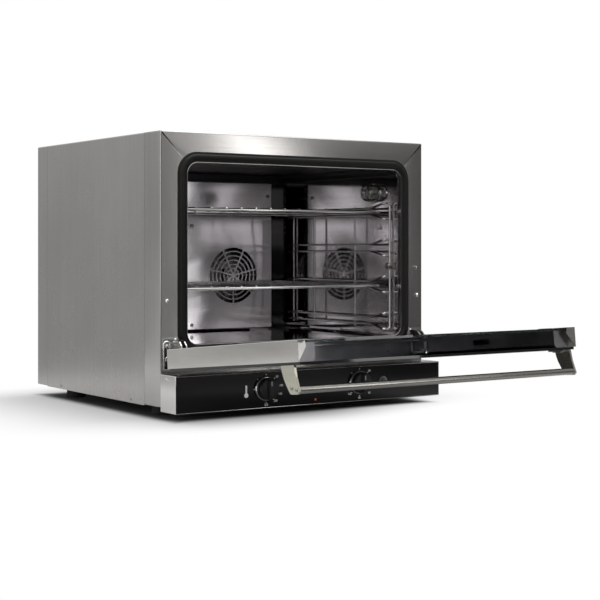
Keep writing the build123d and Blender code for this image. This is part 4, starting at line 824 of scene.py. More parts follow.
tree, given, last = growing_tree("ring_slots", [
    ("Radius", "Float"), ("Pitch", "Float"), ("Slot", "Float"), ("Bridge", "Float"),
    ("Spacing", "Float"), ("Finish", "Material"),
])
asked = given.outputs
share = 2 * math.pi / SLOTS_ROUND
bands = node(tree, "GeometryNodeJoinGeometry")
for ring in range(GRILLE_RINGS):
    outer = worked(tree, "MULTIPLY_ADD", asked["Pitch"], -float(ring), asked["Radius"])
    middle = worked(tree, "MULTIPLY_ADD", asked["Slot"], -0.5, outer)
    lost = worked(tree, "DIVIDE", asked["Bridge"], middle)
    arc = node(tree, "GeometryNodeCurveArc", {
        "Resolution": 14, "Radius": middle,
        "Start Angle": worked(tree, "MULTIPLY_ADD", lost, 0.5, math.radians(-90)),
        "Sweep Angle": worked(tree, "SUBTRACT", share, lost),
    })
    section = node(tree, "GeometryNodeCurvePrimitiveQuadrilateral", {
        "Width": asked["Slot"], "Height": 8.0,
    })
    cutter = node(tree, "GeometryNodeCurveToMesh", {
        "Curve": arc.outputs["Curve"], "Profile Curve": section.outputs["Curve"],
        "Fill Caps": True,
    })
    tree.links.new(cutter.outputs["Mesh"], bands.inputs["Geometry"])
ringed = copied_round(tree, SLOTS_ROUND, share, bands.outputs["Geometry"])
step_over = node(tree, "ShaderNodeCombineXYZ", {"X": asked["Spacing"]})
origin = node(tree, "ShaderNodeCombineXYZ", {"X": times(tree, asked["Spacing"], -0.5)})
pair = node(tree, "GeometryNodeMeshLine", {
    "Count": 2, "Start Location": origin.outputs["Vector"], "Offset": step_over.outputs["Vector"],
})
twice = node(tree, "GeometryNodeInstanceOnPoints", {
    "Points": pair.outputs["Mesh"], "Instance": ringed,
})
stand = node(tree, "GeometryNodeTransform", {
    "Geometry": twice.outputs["Instances"], "Rotation": (math.radians(90), 0, 0),
    "Translation": (0, BAFFLE_FRONT, FAN_Z),
})
solid_cut = node(tree, "GeometryNodeRealizeInstances", {"Geometry": stand.outputs["Geometry"]})
punch = node(tree, "GeometryNodeMeshBoolean", {
    "Mesh 1": asked["Geometry"], "Mesh 2": solid_cut.outputs["Geometry"],
}, operation="DIFFERENCE", solver="EXACT")
close_tree(tree, given, last, punch.outputs["Mesh"])

shape = bmesh.new()
plan = [
    (-BAFFLE_HALF, BAFFLE_FRONT + 12.0, 0), (-BAFFLE_HALF, BAFFLE_FRONT, 0),
    (BAFFLE_HALF, BAFFLE_FRONT, 0), (BAFFLE_HALF, BAFFLE_FRONT + 12.0, 0),
]
bent = rounded(plan, 2.0, closed=False)
loft(shape, [[p + Vector((0, 0, z)) for p in bent] for z in (BAFFLE_LOW, BAFFLE_HIGH)], False)
folded = sheet_metal(shape, 1.0, (0, BAFFLE_FRONT + 100, 280))
base = bpy.data.meshes.new("baffle_blank")
folded.to_mesh(base)
folded.free()
values = {
    "Radius": 60.0, "Pitch": 9.4, "Slot": 7.0, "Bridge": 3.4, "Spacing": 2 * FAN_X,
    "Finish": baffle_steel
}
shape = grown(tree, values, base)
finish_piece(
    shape, "suction_baffle", "cabinet", ["fan_baffle"], baffle_steel,
    grain=lambda normal, middle: Vector((1, 0, 0)),
)
post_places = [(0, 351.0), (-192.0, 417.0), (192.0, 417.0), (0, 140.0)]
finish_node("baffle_posts", screw_steel)
shape = screws([(x, BAFFLE_FRONT, z) for x, z in post_places], (0, -1, 0), 4.0, 2.2, screw_steel)
finish_piece(shape, "baffle_fixings", "cabinet", ["baffle_screws"], screw_steel)

# Fans. Pressed aluminium wheels: a back disc with straight radial blades welded round it and a
# turned hub, on a bright motor shaft. The shaded pole motors sit behind the wool.
fan_metal = grained(
    "fan_metal", (0.36, 0.35, 0.34), 0.30, speck=0.2, scale=200.0, bump=0.1, metal=1.0
)
motor_metal = grained("motor_metal", (0.20, 0.20, 0.21), 0.45, speck=0.2, scale=300.0, metal=1.0)
tree, given, last = growing_tree("blades_round_hub", [
    ("Blades", "Int"), ("Inner Radius", "Float"), ("Outer Radius", "Float"),
    ("Depth", "Float"), ("Sheet", "Float"), ("Finish", "Material"),
])
asked = given.outputs
length = worked(tree, "SUBTRACT", asked["Outer Radius"], asked["Inner Radius"])
middle = worked(tree, "MULTIPLY_ADD", length, 0.5, asked["Inner Radius"])
size = node(tree, "ShaderNodeCombineXYZ", {
    "X": length, "Y": asked["Sheet"], "Z": asked["Depth"],
})
blade = node(tree, "GeometryNodeMeshCube", {"Size": size.outputs["Vector"]})
away = node(tree, "ShaderNodeCombineXYZ", {"X": middle})
moved = node(tree, "GeometryNodeTransform", {
    "Geometry": blade.outputs["Mesh"], "Translation": away.outputs["Vector"],
})
share = worked(tree, "DIVIDE", 2 * math.pi, asked["Blades"])
spread = copied_round(tree, asked["Blades"], share, moved.outputs["Geometry"])
close_tree(tree, given, last, spread)

FAN_BACK = FRONT + 458.0 - 8.0
point_front = Matrix.Rotation(math.radians(90), 4, "X")
for side, name in ((-1, "left"), (1, "right")):
    values = {
        "Blades": 10, "Inner Radius": 32.0, "Outer Radius": 75.0, "Depth": 31.0, "Sheet": 1.5,
        "Finish": fan_metal
    }
    blades = grown(tree, values)
    bmesh.ops.translate(blades, vec=(0, 0, 16.5), verts=blades.verts)
    disc = turned(bmesh.new(), [(69.0, 0), (69.0, 1.5)], 56)
    hub = turned(bmesh.new(), [
        (3.95, -58.0), (3.95, 1.6), (14.0, 1.6), (
            14.0, 15.5
        ), (12.5, 18.0), (6.0, 18.0), (4.0, 18.4), (3.95, 23.0), (3.0, 24.0)
    ], 32)
    shape = joined(blades, disc, hub)
    bmesh.ops.transform(
        shape, matrix=Matrix.Translation(
            (side * FAN_X, FAN_BACK, FAN_Z)
        ) @ point_front, verts=shape.verts
    )
    finish_piece(shape, f"{name}_fan_wheel", f"{name}_fan", [f"fan_{name}"], fan_metal)
    finish_node(f"fan_motor_{name}", motor_metal)


# Heating elements. Sheathed tubes bent to a rounded square round each fan, darkened by heat.
def wire(shape, points, radius, sides=12, closed=False):
    """A round wire swept along a path, with its ends capped."""
    tangents = []
    count = len(points)
    for index in range(count):
        before = points[index - 1] if closed or index else points[0]
        after = points[(index + 1) % count] if closed or index < count - 1 else points[-1]
        tangents.append((after - before).normalized())
    side_way = tangents[0].orthogonal().normalized()
    rings = []
    for index, (point, tangent) in enumerate(zip(points, tangents)):
        side_way = (side_way - tangent * side_way.dot(tangent)).normalized()
        other = tangent.cross(side_way)
        ring = []
        for step in range(sides):
            turn = 2 * math.pi * step / sides
            ring.append(point + (side_way * math.cos(turn) + other * math.sin(turn)) * radius)
        rings.append(ring)
    made = loft(shape, rings)
    if closed:
        first, final = made[0], made[-1]
        shift = min(range(sides), key=lambda s: (final[s].co - first[0].co).length)
        for step in range(sides):
            after = (step + 1) % sides
            final_a, final_b = final[(step + shift) % sides], final[(after + shift) % sides]
            shape.faces.new((final_a, final_b, first[after], first[step]))
    else:
        shape.faces.new(made[0])
        shape.faces.new(made[-1])
    return shape


heater_metal = grained(
    "heater_metal", (0.075, 0.060, 0.052), 0.38, speck=0.35, scale=250.0, metal=0.8
)
HEATER_Y = FAN_BACK - 32.0 + 14.0
shape = bmesh.new()
for x in (-FAN_X, FAN_X):
    low, high = FAN_Z - 90.0, FAN_Z + 90.0
    route = [
        (x - 12, 192, low), (x - 12, HEATER_Y, low), (x - 90, HEATER_Y, low), (
            x - 90, HEATER_Y, high
        ),
        (
            x + 90, HEATER_Y, high
        ), (x + 90, HEATER_Y, low), (x + 12, HEATER_Y, low), (x + 12, 192, low),
    ]
    wire(shape, rounded(route, 8.0, closed=False), 3.25, 14)
finish_piece(shape, "heater_tubes", "cabinet", ["heating_elements"], heater_metal)

# Shelf racks. Bright stainless wire on each side wall: runners flared apart at the front, welded
# to upright wires; the top and bottom runners and the front upright are one bent wire.
WIRE = 2.25
RACK_FRONT = FRONT + 40.0
RACK_REAR = FRONT + 386.0
WALL_X = 247.3
RUNNER_X = 231.5
CAVITY_SIDE = 251.5
LEVELS_Z = [377.5 - 73.5 * level for level in range(4)]
bright_wire = brushed_steel("bright_wire", (0.66, 0.65, 0.64), 0.13, turn=0.2)


def runner_route(level_z, flare, side):
    """The bends of one runner: from the front upright, down the channel, and out to the wall."""
    bends = [
        (WALL_X, RACK_FRONT, level_z + flare), (RUNNER_X, RACK_FRONT, level_z + flare),
        (
            RUNNER_X, RACK_FRONT + 42.0, level_z
        ), (RUNNER_X, RACK_REAR, level_z), (WALL_X, RACK_REAR, level_z),
    ]
    return [(side * x, y, z) for x, y, z in bends]


for side, name in ((-1, "left"), (1, "right")):
    shape = bmesh.new()
    top_run = runner_route(LEVELS_Z[0] + 7.0, 10.0, side)
    bottom_run = runner_route(LEVELS_Z[-1] - 7.0, -8.0, side)
    wire(shape, rounded([*reversed(top_run), *bottom_run], 5.5, closed=False), WIRE, 14)
    for level, level_z in enumerate(LEVELS_Z):
        if level > 0:
            wire(
                shape, rounded(runner_route(level_z + 7.0, 10.0, side), 5.5, closed=False), WIRE, 14
            )
        if level < len(LEVELS_Z) - 1:
            wire(
                shape, rounded(runner_route(level_z - 7.0, -8.0, side), 5.5, closed=False), WIRE, 14
            )
    finish_piece(
        shape, f"{name}_runners", "cabinet", [f"rack_runners_{name}"], bright_wire
    )
    shape = bmesh.new()
    uprights = [
        (WALL_X, RACK_REAR), (RUNNER_X + 4.2, FRONT + 142.0), (RUNNER_X + 4.2, FRONT + 289.0)
    ]
    for x, y in uprights:
        ends = [
            Vector((side * x, y, LEVELS_Z[-1] - 13.0)), Vector((side * x, y, LEVELS_Z[0] + 13.0))
        ]
        wire(shape, ends, WIRE, 14)
    finish_piece(
        shape, f"{name}_uprights", "cabinet", [f"rack_uprights_{name}"], bright_wire
    )

shape = bmesh.new()
for side in (-1, 1):
    nut = turned(
        bmesh.new(),
        [(7.0, 0), (7.0, 4.2), (6.2, 5.4), (4.5, 6.0), (3.2, 6.0), (3.0, 7.6), (2.2, 8.0)], 24
    )
    turn_in = Matrix.Rotation(math.radians(-90 * side), 4, "Y")
    place = Matrix.Translation((side * (WALL_X - WIRE), RACK_FRONT, 268.0))
    bmesh.ops.transform(nut, matrix=place @ turn_in, verts=nut.verts)
    shape = joined(shape, nut)
    for y in (-8.0, 8.0):
        lug = bmesh.new()
        bmesh.ops.create_cube(lug, size=1.0)
        bmesh.ops.scale(lug, vec=(6.45, 8.0, 10.0), verts=lug.verts)
        bmesh.ops.translate(
            lug, vec=(side * (CAVITY_SIDE - 3.225), RACK_FRONT + y, 268.0), verts=lug.verts
        )
        bmesh.ops.bevel(lug, geom=lug.edges, offset=1.0, segments=2, affect="EDGES")
        shape = joined(shape, lug)
finish_piece(shape, "rack_clamps", "cabinet", ["rack_fixings"], screw_steel)

# Wire shelves. A heavy rounded rim, one brace, and thin wires welded across them, all bright.
rows, given, last = growing_tree("shelf_wires", [
    ("Wires", "Int"), ("Pitch", "Float"), ("Length", "Float"), ("Radius", "Float"), (
        "Finish", "Material"
    ),
])
asked = given.outputs
along = node(rows, "ShaderNodeCombineXYZ", {"Y": asked["Length"]})
run = node(rows, "GeometryNodeCurvePrimitiveLine", {"End": along.outputs["Vector"]})
section = node(rows, "GeometryNodeCurvePrimitiveCircle", {
    "Resolution": 12, "Radius": asked["Radius"],
})
rod = node(rows, "GeometryNodeCurveToMesh", {
    "Curve": run.outputs["Curve"], "Profile Curve": section.outputs["Curve"], "Fill Caps": True,
})
step_over = node(rows, "ShaderNodeCombineXYZ", {"X": asked["Pitch"]})
points = node(rows, "GeometryNodeMeshLine", {
    "Count": asked["Wires"], "Offset": step_over.outputs["Vector"],
})
spread = node(rows, "GeometryNodeInstanceOnPoints", {
    "Points": points.outputs["Mesh"], "Instance": rod.outputs["Mesh"],
})
close_tree(rows, given, last, spread.outputs["Instances"])

shelf_front = FRONT + 47.0
shelf_back = shelf_front + 336.0
shelf_side = 229.5
SHELF_WIRES = 13
wire_pitch = 2 * shelf_side / (SHELF_WIRES + 1)
for name, level_z in (("upper", LEVELS_Z[0]), ("lower", LEVELS_Z[2])):
    rim_z = level_z - 7.0 + 2.55 + 3.0
    rim = [(x, y, rim_z) for x, y in (
        (shelf_side, shelf_front), (shelf_side, shelf_back), (-shelf_side, shelf_back), (
            -shelf_side, shelf_front
        )
    )]
    shape = wire(bmesh.new(), rounded(rim, 10.0, 6), 3.0, 16, closed=True)
    middle_y = (shelf_front + shelf_back) / 2
    wire(
        shape,
        [Vector((3.0 - shelf_side, middle_y, rim_z)), Vector((shelf_side - 3.0, middle_y, rim_z))],
        2.6, 14
    )
    values = {
        "Wires": SHELF_WIRES, "Pitch": wire_pitch, "Length": 335.0, "Radius": 1.6,
        "Finish": bright_wire
    }
    across = grown(rows, values)
    bmesh.ops.translate(
        across, vec=(-6 * wire_pitch, shelf_front + 0.5, rim_z + 3.1), verts=across.verts
    )
    finish_piece(
        joined(shape, across), f"{name}_shelf_wires", f"{name}_shelf", [f"shelf_{name}"],
        bright_wire
    )

# Oven lamp. A ribbed glass cup screwed into a steel ring on the right wall, with a small clear
# bulb in a ceramic socket behind it.
LAMP_Y = FRONT + 97.0
LAMP_Z = 417.0


def clear_glass(name, colour, rough, smear=0.5):
    """Glass with faint smears."""
    def smeared(tree):
        place = node(tree, "ShaderNodeTexCoord").outputs["Object"]
        tone = marks(tree, place, 9.0, 5.0, 0.02)[1]
        gloss = marks(tree, place, 11.0, 5.0, smear)[1]
        return tone, gloss, None, 0.0, 0.0

    return surface(name, colour, rough, smeared, Transmission_Weight=1.0, IOR=1.5)


lamp_clear = clear_glass("lamp_clear", (0.95, 0.95, 0.94), 0.02)
on_wall = Matrix.Translation(
    (CAVITY_SIDE, LAMP_Y, LAMP_Z)
) @ Matrix.Rotation(math.radians(-90), 4, "Y")
cup = bmesh.new()
rings = []
outside = [(17.4, 2.0), (17.4, 4.0), (17.4, 19.0), (16.6, 22.5), (14.0, 24.6), (6.0, 25.0)]
inside = [(6.0, 22.6), (13.0, 22.2), (14.6, 20.0), (15.2, 16.0), (15.2, 2.0)]
for index, (radius, height) in enumerate([*outside, *inside]):
    ring = []
    for step in range(72):
        turn = 2 * math.pi * step / 72
        rib = 0.55 * math.cos(12 * turn) if 0 < index < 4 else 0.0
        ring.append(((radius + rib) * math.cos(turn), (radius + rib) * math.sin(turn), height))
    rings.append(ring)
made = loft(cup, rings[:6])
cup.faces.new(made[-1])
loft(cup, [rings[0], rings[-1]])
made = loft(cup, rings[6:])
cup.faces.new(made[0])
bmesh.ops.transform(cup, matrix=on_wall, verts=cup.verts)
finish_piece(cup, "lamp_cup", "cabinet", ["lamp_glass"], lamp_clear, smooth=50)
ring = turned(
    bmesh.new(),
    [(15.3, 0), (21.5, 0), (21.5, 1.0), (20.8, 1.8), (19.5, 2.0), (16.0, 2.0), (15.3, 1.6)], 48
)
bmesh.ops.delete(ring, geom=[f for f in ring.faces if len(f.verts) > 4], context="FACES")
made = list(ring.verts)
first, final = made[:48], made[-48:]
for step in range(48):
    ring.faces.new((first[step], first[(step + 1) % 48], final[(step + 1) % 48], final[step]))
bmesh.ops.transform(ring, matrix=on_wall, verts=ring.verts)
bright_trim = polished_steel("bright_trim", (0.72, 0.71, 0.70), 0.12, wave=0.0)
finish_piece(ring, "lamp_collar", "cabinet", ["lamp_ring"], bright_trim)
bulb = turned(
    bmesh.new(), [(6.5, -16), (6.5, 4), (8.5, 7), (9.9, 11), (9.7, 14), (8.0, 17.4), (4.5, 19.0)],
    28
)
bmesh.ops.transform(bulb, matrix=on_wall, verts=bulb.verts)
bulb_glass = clear_glass("bulb_glass", (0.86, 0.84, 0.78), 0.15)
finish_piece(bulb, "bulb", "cabinet", ["lamp_bulb"], bulb_glass)
ceramic = grained("ceramic", (0.62, 0.60, 0.55), 0.35)
finish_node("lamp_socket", ceramic)

# Thermostat probe. A thin capillary bulb clipped beside the baffle.
finish_node("thermostat_probe", bright_trim)

# Control panel. A folded stainless box under the mouth, open at the front, that holds the
# controls and their glass. Its front edge is a bright rolled hem, with folded tabs at the ends.
PANEL_HALF = 297.0
PANEL_FACE = FRONT - 54.0
PANEL_RISE = 33.5
PANEL_MIDDLE = 47.5
panel_steel = brushed_steel("panel_steel", (0.70, 0.69, 0.68), 0.24, turn=0.4)
shape = bmesh.new()
box_line = [
    soft_outline(PANEL_HALF, PANEL_RISE, 1.6, PANEL_MIDDLE, y, 4) for y in (FRONT, PANEL_FACE + 0.5)
]
box_line.append(soft_outline(PANEL_HALF - 0.4, PANEL_RISE - 0.4, 1.2, PANEL_MIDDLE, PANEL_FACE, 4))
loft(shape, box_line)
tube = sheet_metal(shape, 1.0, (0, FRONT - 20, PANEL_MIDDLE))
window = [(-267, 22), (267, 22), (267, 73), (-267, 73)]
rear_edge = [(-295.9, 15.1), (295.9, 15.1), (295.9, 79.9), (-295.9, 79.9)]
flange = cut_plate([rear_edge, window], 1.0)
bmesh.ops.translate(flange, vec=(0, FRONT - 1.0, 0), verts=flange.verts)
window = [(-285, 21), (285, 21), (285, 74), (-285, 74)]
front_flange = cut_plate([rear_edge, window], 1.0)
bmesh.ops.translate(front_flange, vec=(0, PANEL_FACE + 3.0, 0), verts=front_flange.verts)
finish_piece(
    joined(
        tube, flange, front_flange
    ), "panel_box", "cabinet", ["control_panel_box"], panel_steel
)
hem = bmesh.new()
for z in (79.9, 15.1):
    wire(hem, [Vector((x, PANEL_FACE + 0.2, z)) for x in (-296.2, 296.2)], 0.75, 10)
for side in (-1, 1):
    tab = [
        (side * 297.0, PANEL_FACE + 3.0, 72.5), (side * 297.0, PANEL_FACE + 30.0, 72.5),
        (side * 297.0, PANEL_FACE + 34.0, 76.0)
    ]
    wire(hem, [Vector(point) for point in tab], 0.45, 8)
finish_piece(hem, "panel_hem", "cabinet", [], lip_steel)


# Panel glass. Black back-painted glass with small white dial marks, numbers and a thermometer
# sign, printed on its face.
def dark_glass(name, colour, rough, shine):
    """Back-painted glass: a deep colour under a clear skin, with faint wipe marks."""
    def wiped(tree):
        place = node(tree, "ShaderNodeTexCoord").outputs["Object"]
        tone = marks(tree, place, 12.0, 5.0, 0.2)[1]
        gloss = marks(tree, place, 8.0, 5.0, 0.4)[1]
        return tone, gloss, None, 0.0, 0.0

    return surface(name, colour, rough, wiped, Specular_IOR_Level=shine)


black_glass = dark_glass("black_glass", (0.006, 0.0056, 0.0065), 0.08, 0.3)
finish_node("control_glass", black_glass)
GLASS_FACE = PANEL_FACE + 0.5
KNOB_Z = 49.5
KNOB_LEFT = -109.0
KNOB_RIGHT = 102.0
DOTS_OUT = 25.6
print_white = grained("print_white", (0.78, 0.78, 0.76), 0.5, speck=0.04)


def printed_number(words, x, z, size):
    """A printed number standing on the glass, centred on a point."""
    letters = bpy.data.curves.new("number", "FONT")
    letters.body = words
    letters.size = size
    letters.align_x = "CENTER"
    letters.align_y = "CENTER"
    letters.extrude = 0.03
    shape = settled(bpy.data.objects.new("number", letters))
    place = Matrix.Translation(
        (x, GLASS_FACE - 0.03, z)
    ) @ Matrix.Rotation(math.radians(90), 4, "X")
    bmesh.ops.transform(shape, matrix=place, verts=shape.verts)
    return shape


print_shape = bmesh.new()
dials = (
    (KNOB_LEFT, (
        (0, "0"), (45, "50"), (82, "100"), (112, "150"), (142, "200"), (180, "250"), (270, ""),
        (315, "")
    )),
    (KNOB_RIGHT, ((0, "0"), (45, "20"), (135, "60"), (180, "80"), (225, "100"), (315, ""))),
)
for knob_x, scale in dials:
    for clock, words in scale:
        turn = math.radians(90 - clock)
        dot_x = knob_x + DOTS_OUT * math.cos(turn)
        dot_z = KNOB_Z + DOTS_OUT * math.sin(turn)
        dot = turned(bmesh.new(), [(0.85, 0), (0.85, 0.05)], 14)
        place = Matrix.Translation(
            (dot_x, GLASS_FACE, dot_z)
        ) @ Matrix.Rotation(math.radians(90), 4, "X")
        bmesh.ops.transform(dot, matrix=place, verts=dot.verts)
        print_shape = joined(print_shape, dot)
        if words:
            out = 31.0 if clock in (0, 180) else 33.0
            number_x = knob_x + out * math.cos(turn)
            number_z = KNOB_Z + min(out, 29.5) * math.sin(turn)
            if abs(number_z - PANEL_MIDDLE) < 30:
                print_shape = joined(print_shape, printed_number(words, number_x, number_z, 5.6))
stem = [(-1.7, 6.0), (-1.7, 19.0), (-1.0, 20.4), (1.0, 20.4), (1.7, 19.0), (1.7, 6.0)]
well = [
    (4.3 * math.cos(math.radians(a)), 2.4 + 4.3 * math.sin(math.radians(a)))
    for a in range(60, -241, -20)
]
sign = cut_plate([[(-151.5 + x, 37.0 + z) for x, z in [*reversed(stem), *reversed(well)]]], 0.05)
bmesh.ops.translate(sign, vec=(0, GLASS_FACE - 0.05, 0), verts=sign.verts)
finish_piece(joined(print_shape, sign), "panel_marks", "cabinet", [], print_white)

# Knobs. Black moulded plastic with a finger bar and a white pointer line, set in polished rings;
# each turns a spindle behind the glass.
black_plastic = grained("black_plastic", (0.012, 0.012, 0.013), 0.30, scale=700.0, bump=0.12)
SKIRT_BACK = GLASS_FACE - 0.6
for knob_x, name, solid, body in (
    (KNOB_LEFT, "temperature_dial", "knob_temperature", "temperature_knob"),
    (KNOB_RIGHT, "timer_dial", "knob_timer", "timer_knob"),
):
    profile = [
        (2.98, -28.9), (2.98, 0.0), (18.0, 0.0), (18.2, 0.4), (18.2, 2.9), (19.6, 3.0), (20.3, 3.6),
        (20.4, 5.0)
    ]
    profile += [(20.0, 11.3), (19.2, 12.5), (17.6, 13.0), (6.0, 13.0)]
    grip = turned(bmesh.new(), profile, 48)
    bar = bmesh.new()
    rings = []
    for out, narrow in ((12.5, 0.0), (17.2, 0.5), (18.5, 1.0), (19.0, 2.0)):
        outline = rounded([
            (4.5 - narrow, 17.5 - narrow, out), (-4.5 + narrow, 17.5 - narrow, out),
            (-4.5 + narrow, -17.5 + narrow, out), (4.5 - narrow, -17.5 + narrow, out),
        ], 2.0, 5)
        rings.append(outline)
    made = loft(bar, rings)
    bar.faces.new(made[0])
    bar.faces.new(made[-1])
    shape = joined(grip, bar)
    to_front = Matrix.Translation((knob_x, SKIRT_BACK, KNOB_Z)) @ point_front
    bmesh.ops.transform(shape, matrix=to_front, verts=shape.verts)
    finish_piece(shape, name, body, [solid], black_plastic, smooth=40)
    line = bmesh.new()
    bmesh.ops.create_cube(line, size=1.0)
    bmesh.ops.scale(line, vec=(0.9, 8.0, 0.1), verts=line.verts)
    bmesh.ops.translate(line, vec=(0, 10.0, 19.0), verts=line.verts)
    bmesh.ops.transform(line, matrix=to_front, verts=line.verts)
    finish_piece(line, f"{name}_pointer", body, [], print_white)


def collar(shape, x, profile, sides):
    """A turned collar standing on the glass, from a profile of radius and height."""
    turns = [2 * math.pi * step / sides for step in range(sides)]
    rings = []
    for radius, height in [*profile, profile[0]]:
        rings.append([
            (x + radius * math.cos(turn), GLASS_FACE - height, KNOB_Z + radius * math.sin(turn))
            for turn in turns
        ])
    loft(shape, rings)


shape = bmesh.new()
profile = [
    (19.0, 0.0), (23.0, 0.0), (22.7, 0.9), (21.9, 1.9), (20.8, 2.45), (19.6, 2.4), (19.0, 1.9)
]
for knob_x in (KNOB_LEFT, KNOB_RIGHT):
    collar(shape, knob_x, profile, 64)
finish_piece(shape, "dial_rings", "cabinet", ["knob_bezels"], bright_trim)
finish_node("thermostat_body", grained("switch_metal", (0.30, 0.30, 0.31), 0.4, metal=1.0))
finish_node("timer_body", grained("timer_case", (0.50, 0.48, 0.42), 0.5))

# Light button and pilot. A grey push button in a satin ring, and a small amber lens.
BUTTON_X = 158.0
grey_plastic = grained("grey_plastic", (0.10, 0.10, 0.105), 0.42)
shape = bmesh.new()
profile = [
    (5.8, -13.9), (7.9, -13.9), (7.9, 0.0), (9.8, 0.0), (9.5, 1.2), (8.6, 1.9), (6.6, 1.9),
    (5.8, 1.2)
]
collar(shape, BUTTON_X, profile, 40)
satin = grained("satin_ring", (0.30, 0.30, 0.30), 0.30, metal=1.0)
finish_piece(shape, "button_ring", "cabinet", ["button_bezel"], satin)
shape = turned(bmesh.new(), [(5.5, -6.0), (5.5, 3.4), (5.1, 4.1), (4.0, 4.5), (1.5, 4.3)], 32)
place = Matrix.Translation((BUTTON_X, GLASS_FACE, KNOB_Z)) @ point_front
bmesh.ops.transform(shape, matrix=place, verts=shape.verts)
finish_piece(shape, "light_push", "light_button", ["push_button"], grey_plastic)
shape = turned(bmesh.new(), [(2.4, -12.4), (2.4, 0.2), (2.0, 0.75), (1.0, 1.0)], 20)
bmesh.ops.transform(
    shape, matrix=Matrix.Translation((0, GLASS_FACE, 23.5)) @ point_front, verts=shape.verts
)
pilot_amber = grained("pilot_amber", (0.55, 0.10, 0.02), 0.18, speck=0.05)
finish_piece(shape, "pilot_lens", "cabinet", ["pilot_lamp"], pilot_amber)

# Door switch. A sprung pin in a collar on the right of the frame, and a stud on each side that the
# shut door rests on.
finish_node("door_switch_body", satin)
shape = turned(bmesh.new(), [(1.98, -1.9), (1.98, 4.6), (1.7, 5.2), (1.0, 5.5)], 20)
bmesh.ops.transform(
    shape, matrix=Matrix.Translation((280, FRONT, 266)) @ point_front, verts=shape.verts
)
finish_piece(
    shape, "switch_pin", "switch_plunger", ["door_switch_plunger"], bright_trim
)
shape = bmesh.new()
for side in (-1, 1):
    stud = turned(bmesh.new(), [(3.95, 0.0), (3.8, 1.2), (3.1, 2.8), (2.2, 3.8), (1.0, 4.0)], 24)
    place = Matrix.Translation((side * 284.5, FRONT, 211)) @ point_front
    bmesh.ops.transform(stud, matrix=place, verts=stud.verts)
    shape = joined(shape, stud)
finish_piece(shape, "stop_studs", "cabinet", ["frame_studs"], bright_trim)

# Hinges. Zinc brackets fixed to the cabinet behind bright riveted plates, with thick steel leaves
# that run up inside the door's stiles.
hinge_zinc = grained("hinge_zinc", (0.52, 0.51, 0.49), 0.26, speck=0.18, scale=300.0, metal=1.0)
finish_node("hinge_brackets", hinge_zinc)
finish_node("hinge_pins", bright_trim)
finish_node("hinge_arms", hinge_zinc)
shape = bmesh.new()
for side in (-1, 1):
    corners = [
        (side * 262.5, 0, 88.0), (side * 295.0, 0, 88.0), (side * 295.0, 0, 146.0),
        (side * 262.5, 0, 146.0)
    ]
    edge = [(p.x, p.z) for p in rounded(corners, 4.0)]
    plate = cut_plate([edge, round_hole(side * 270.0, 94.0, 2.2, 16)], 1.6)
    bmesh.ops.translate(plate, vec=(0, FRONT - 1.6, 0), verts=plate.verts)
    rib = [
        (side * x, FRONT - 1.2, z) for x,
        z in ((279.0, 90.0), (279.0, 138.0), (291.5, 138.0), (291.5, 90.0))
    ]
    wire(plate, rounded(rib, 5.0, closed=False), 2.1, 12)
    rivets = [
        (side * x, FRONT - 1.6, z) for x, z in ((285.0, 130.0), (285.0, 108.0), (267.5, 140.5))
    ]
    shape = joined(shape, plate, screws(rivets, (0, -1, 0), 3.6, 1.6, bright_trim))
finish_piece(shape, "hinge_plates", "cabinet", [], bright_trim)

# Door. Two box stiles with polished side skins and a zinc strap low in each, a bottom rail, an
# outer glass and an inner pane held by clips. Its own pieces are drawn shut and turned open.
HINGE_LINE = Vector((0, -295.0, 104.0))
OPEN_BY = math.radians(84.4)
OPEN_DOOR = Matrix.Translation(HINGE_LINE) @ Matrix.Rotation(OPEN_BY, 4, "X")
OPEN_DOOR = OPEN_DOOR @ Matrix.Translation(-HINGE_LINE)
stile_grey = grained("stile_grey", (0.34, 0.33, 0.34), 0.34, speck=0.2, scale=300.0, metal=1.0)
rail_grey = grained("rail_grey", (0.42, 0.40, 0.43), 0.30, speck=0.2, scale=300.0, metal=1.0)
skin_steel = polished_steel("skin_steel", (0.66, 0.64, 0.61), 0.22, wave=0.08, stretch=(30, 3, 30))
for name in ("door_stile_left", "door_stile_right"):
    finish_node(name, stile_grey)
finish_node("door_skin_right", skin_steel)
shape = bmesh.new()
fold = [(-274.5, -272.0), (-294.5, -272.0), (-294.5, -306.5)]
bent = [Vector((-279.0, -272.0, 0)), *rounded([(x, y, 0) for x, y in fold], 1.6, closed=False)[1:]]
loft(shape, [[p + Vector((0, 0, z)) for p in bent] for z in (95.0, 151.0)], False)
bent.insert(0, Vector((-274.5, -272.0, 0)))
loft(shape, [[p + Vector((0, 0, z)) for p in bent] for z in (151.0, 507.0)], False)
skin = sheet_metal(shape, 1.0, (-280.0, -300.0, 300.0))
tab = [(-293.6, -272.9), (-274.5, -272.9), (-274.5, -283.0), (-293.3, -306.4), (-293.6, -306.4)]
made = loft(skin, [[(x, y, z - 0.26 * (y + 306.4)) for x, y in tab] for z in (505.8, 506.8)])
for ring in made:
    skin.faces.new(ring)
bmesh.ops.transform(skin, matrix=OPEN_DOOR, verts=skin.verts)
finish_piece(skin, "left_door_skin", "door", ["door_skin_left"], skin_steel)
finish_node("door_bottom_rail", rail_grey)
straps = bmesh.new()
for side in (-1, 1):
    bow = [
        (side * 251.6, y, z) for y,
        z in ((-280.5, 100.5), (-301.0, 100.5), (-301.0, 143.0), (-280.5, 143.0))
    ]
    wire(straps, rounded(bow, 6.0, closed=False), 2.8, 14)
bmesh.ops.transform(straps, matrix=OPEN_DOOR, verts=straps.verts)
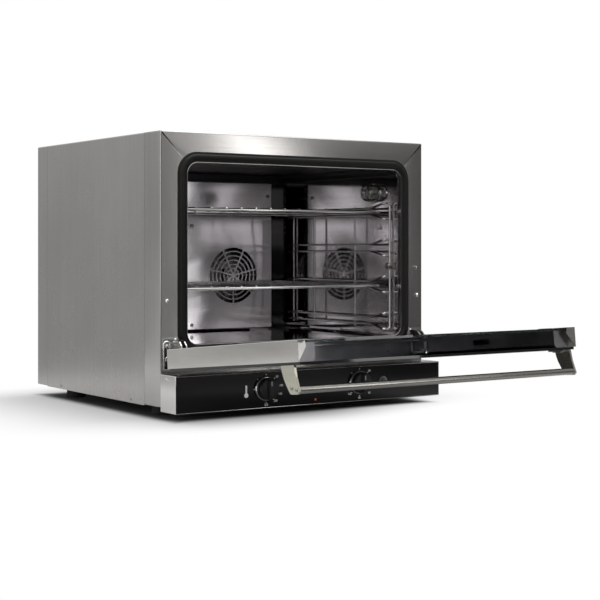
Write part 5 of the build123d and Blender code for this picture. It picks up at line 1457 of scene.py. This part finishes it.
# Painted highlight: the straps' zinc is much lighter and less metallic than the hinge zinc,
# standing in for the light they catch inside the door.
strap_zinc_painted_highlight = grained("strap_zinc_painted_highlight", (0.80, 0.79, 0.80), 0.30, speck=0.18, scale=300.0, metal=0.3)
finish_piece(straps, "stile_straps", "door", [], strap_zinc_painted_highlight)
pane_glass = clear_glass("pane_glass", (0.24, 0.29, 0.28), 0.0, smear=0.3)
finish_node("door_inner_glass", pane_glass)
smoked_glass = dark_glass("smoked_glass", (0.010, 0.010, 0.011), 0.04, 0.5)
finish_node("door_outer_glass", smoked_glass)
finish_node("glass_clips", satin)

# Handle. A bright round tube between two swept flat arms, screwed to the door's corners.
GLASS_OUTER = -311.0
BAR_Y = GLASS_OUTER - 38.2
HANDLE_Z = 497.6
handle_steel = polished_steel(
    "handle_steel", (0.40, 0.385, 0.36), 0.20, wave=0.0, stretch=(6, 300, 300)
)
shape = bmesh.new()
wire(shape, [Vector((x, BAR_Y, HANDLE_Z)) for x in (-290.5, -100.0, 100.0, 290.5)], 6.0, 36)
bmesh.ops.transform(shape, matrix=OPEN_DOOR, verts=shape.verts)
finish_piece(shape, "handle_tube", "door", ["handle_bar"], handle_steel)
# Painted reflection: the arms' steel is tinted warm yellow-green, standing in for warm surroundings
# mirrored in it.
arm_steel_painted_reflection = polished_steel("arm_steel_painted_reflection", (0.50, 0.49, 0.41), 0.24, wave=0.0, stretch=(60, 6, 60))
for name in ("handle_arm_left", "handle_arm_right"):
    finish_node(name, arm_steel_painted_reflection)
shape = bmesh.new()
for side in (-1, 1):
    places = [(side * 294.5, BAR_Y, HANDLE_Z), (side * 294.5, BAR_Y + 2.9, HANDLE_Z - 12.8)]
    shape = joined(shape, screws(places, (side, 0, 0), 3.0, 1.4, screw_steel))
    places = [(side * 281.5, GLASS_OUTER - 2.5, z) for z in (466.0, 486.0)]
    shape = joined(shape, screws(places, (0, -1, 0), 3.5, 2.0, screw_steel))
bmesh.ops.transform(shape, matrix=OPEN_DOOR, verts=shape.verts)
finish_piece(shape, "handle_fixings", "door", ["handle_screws"], screw_steel)
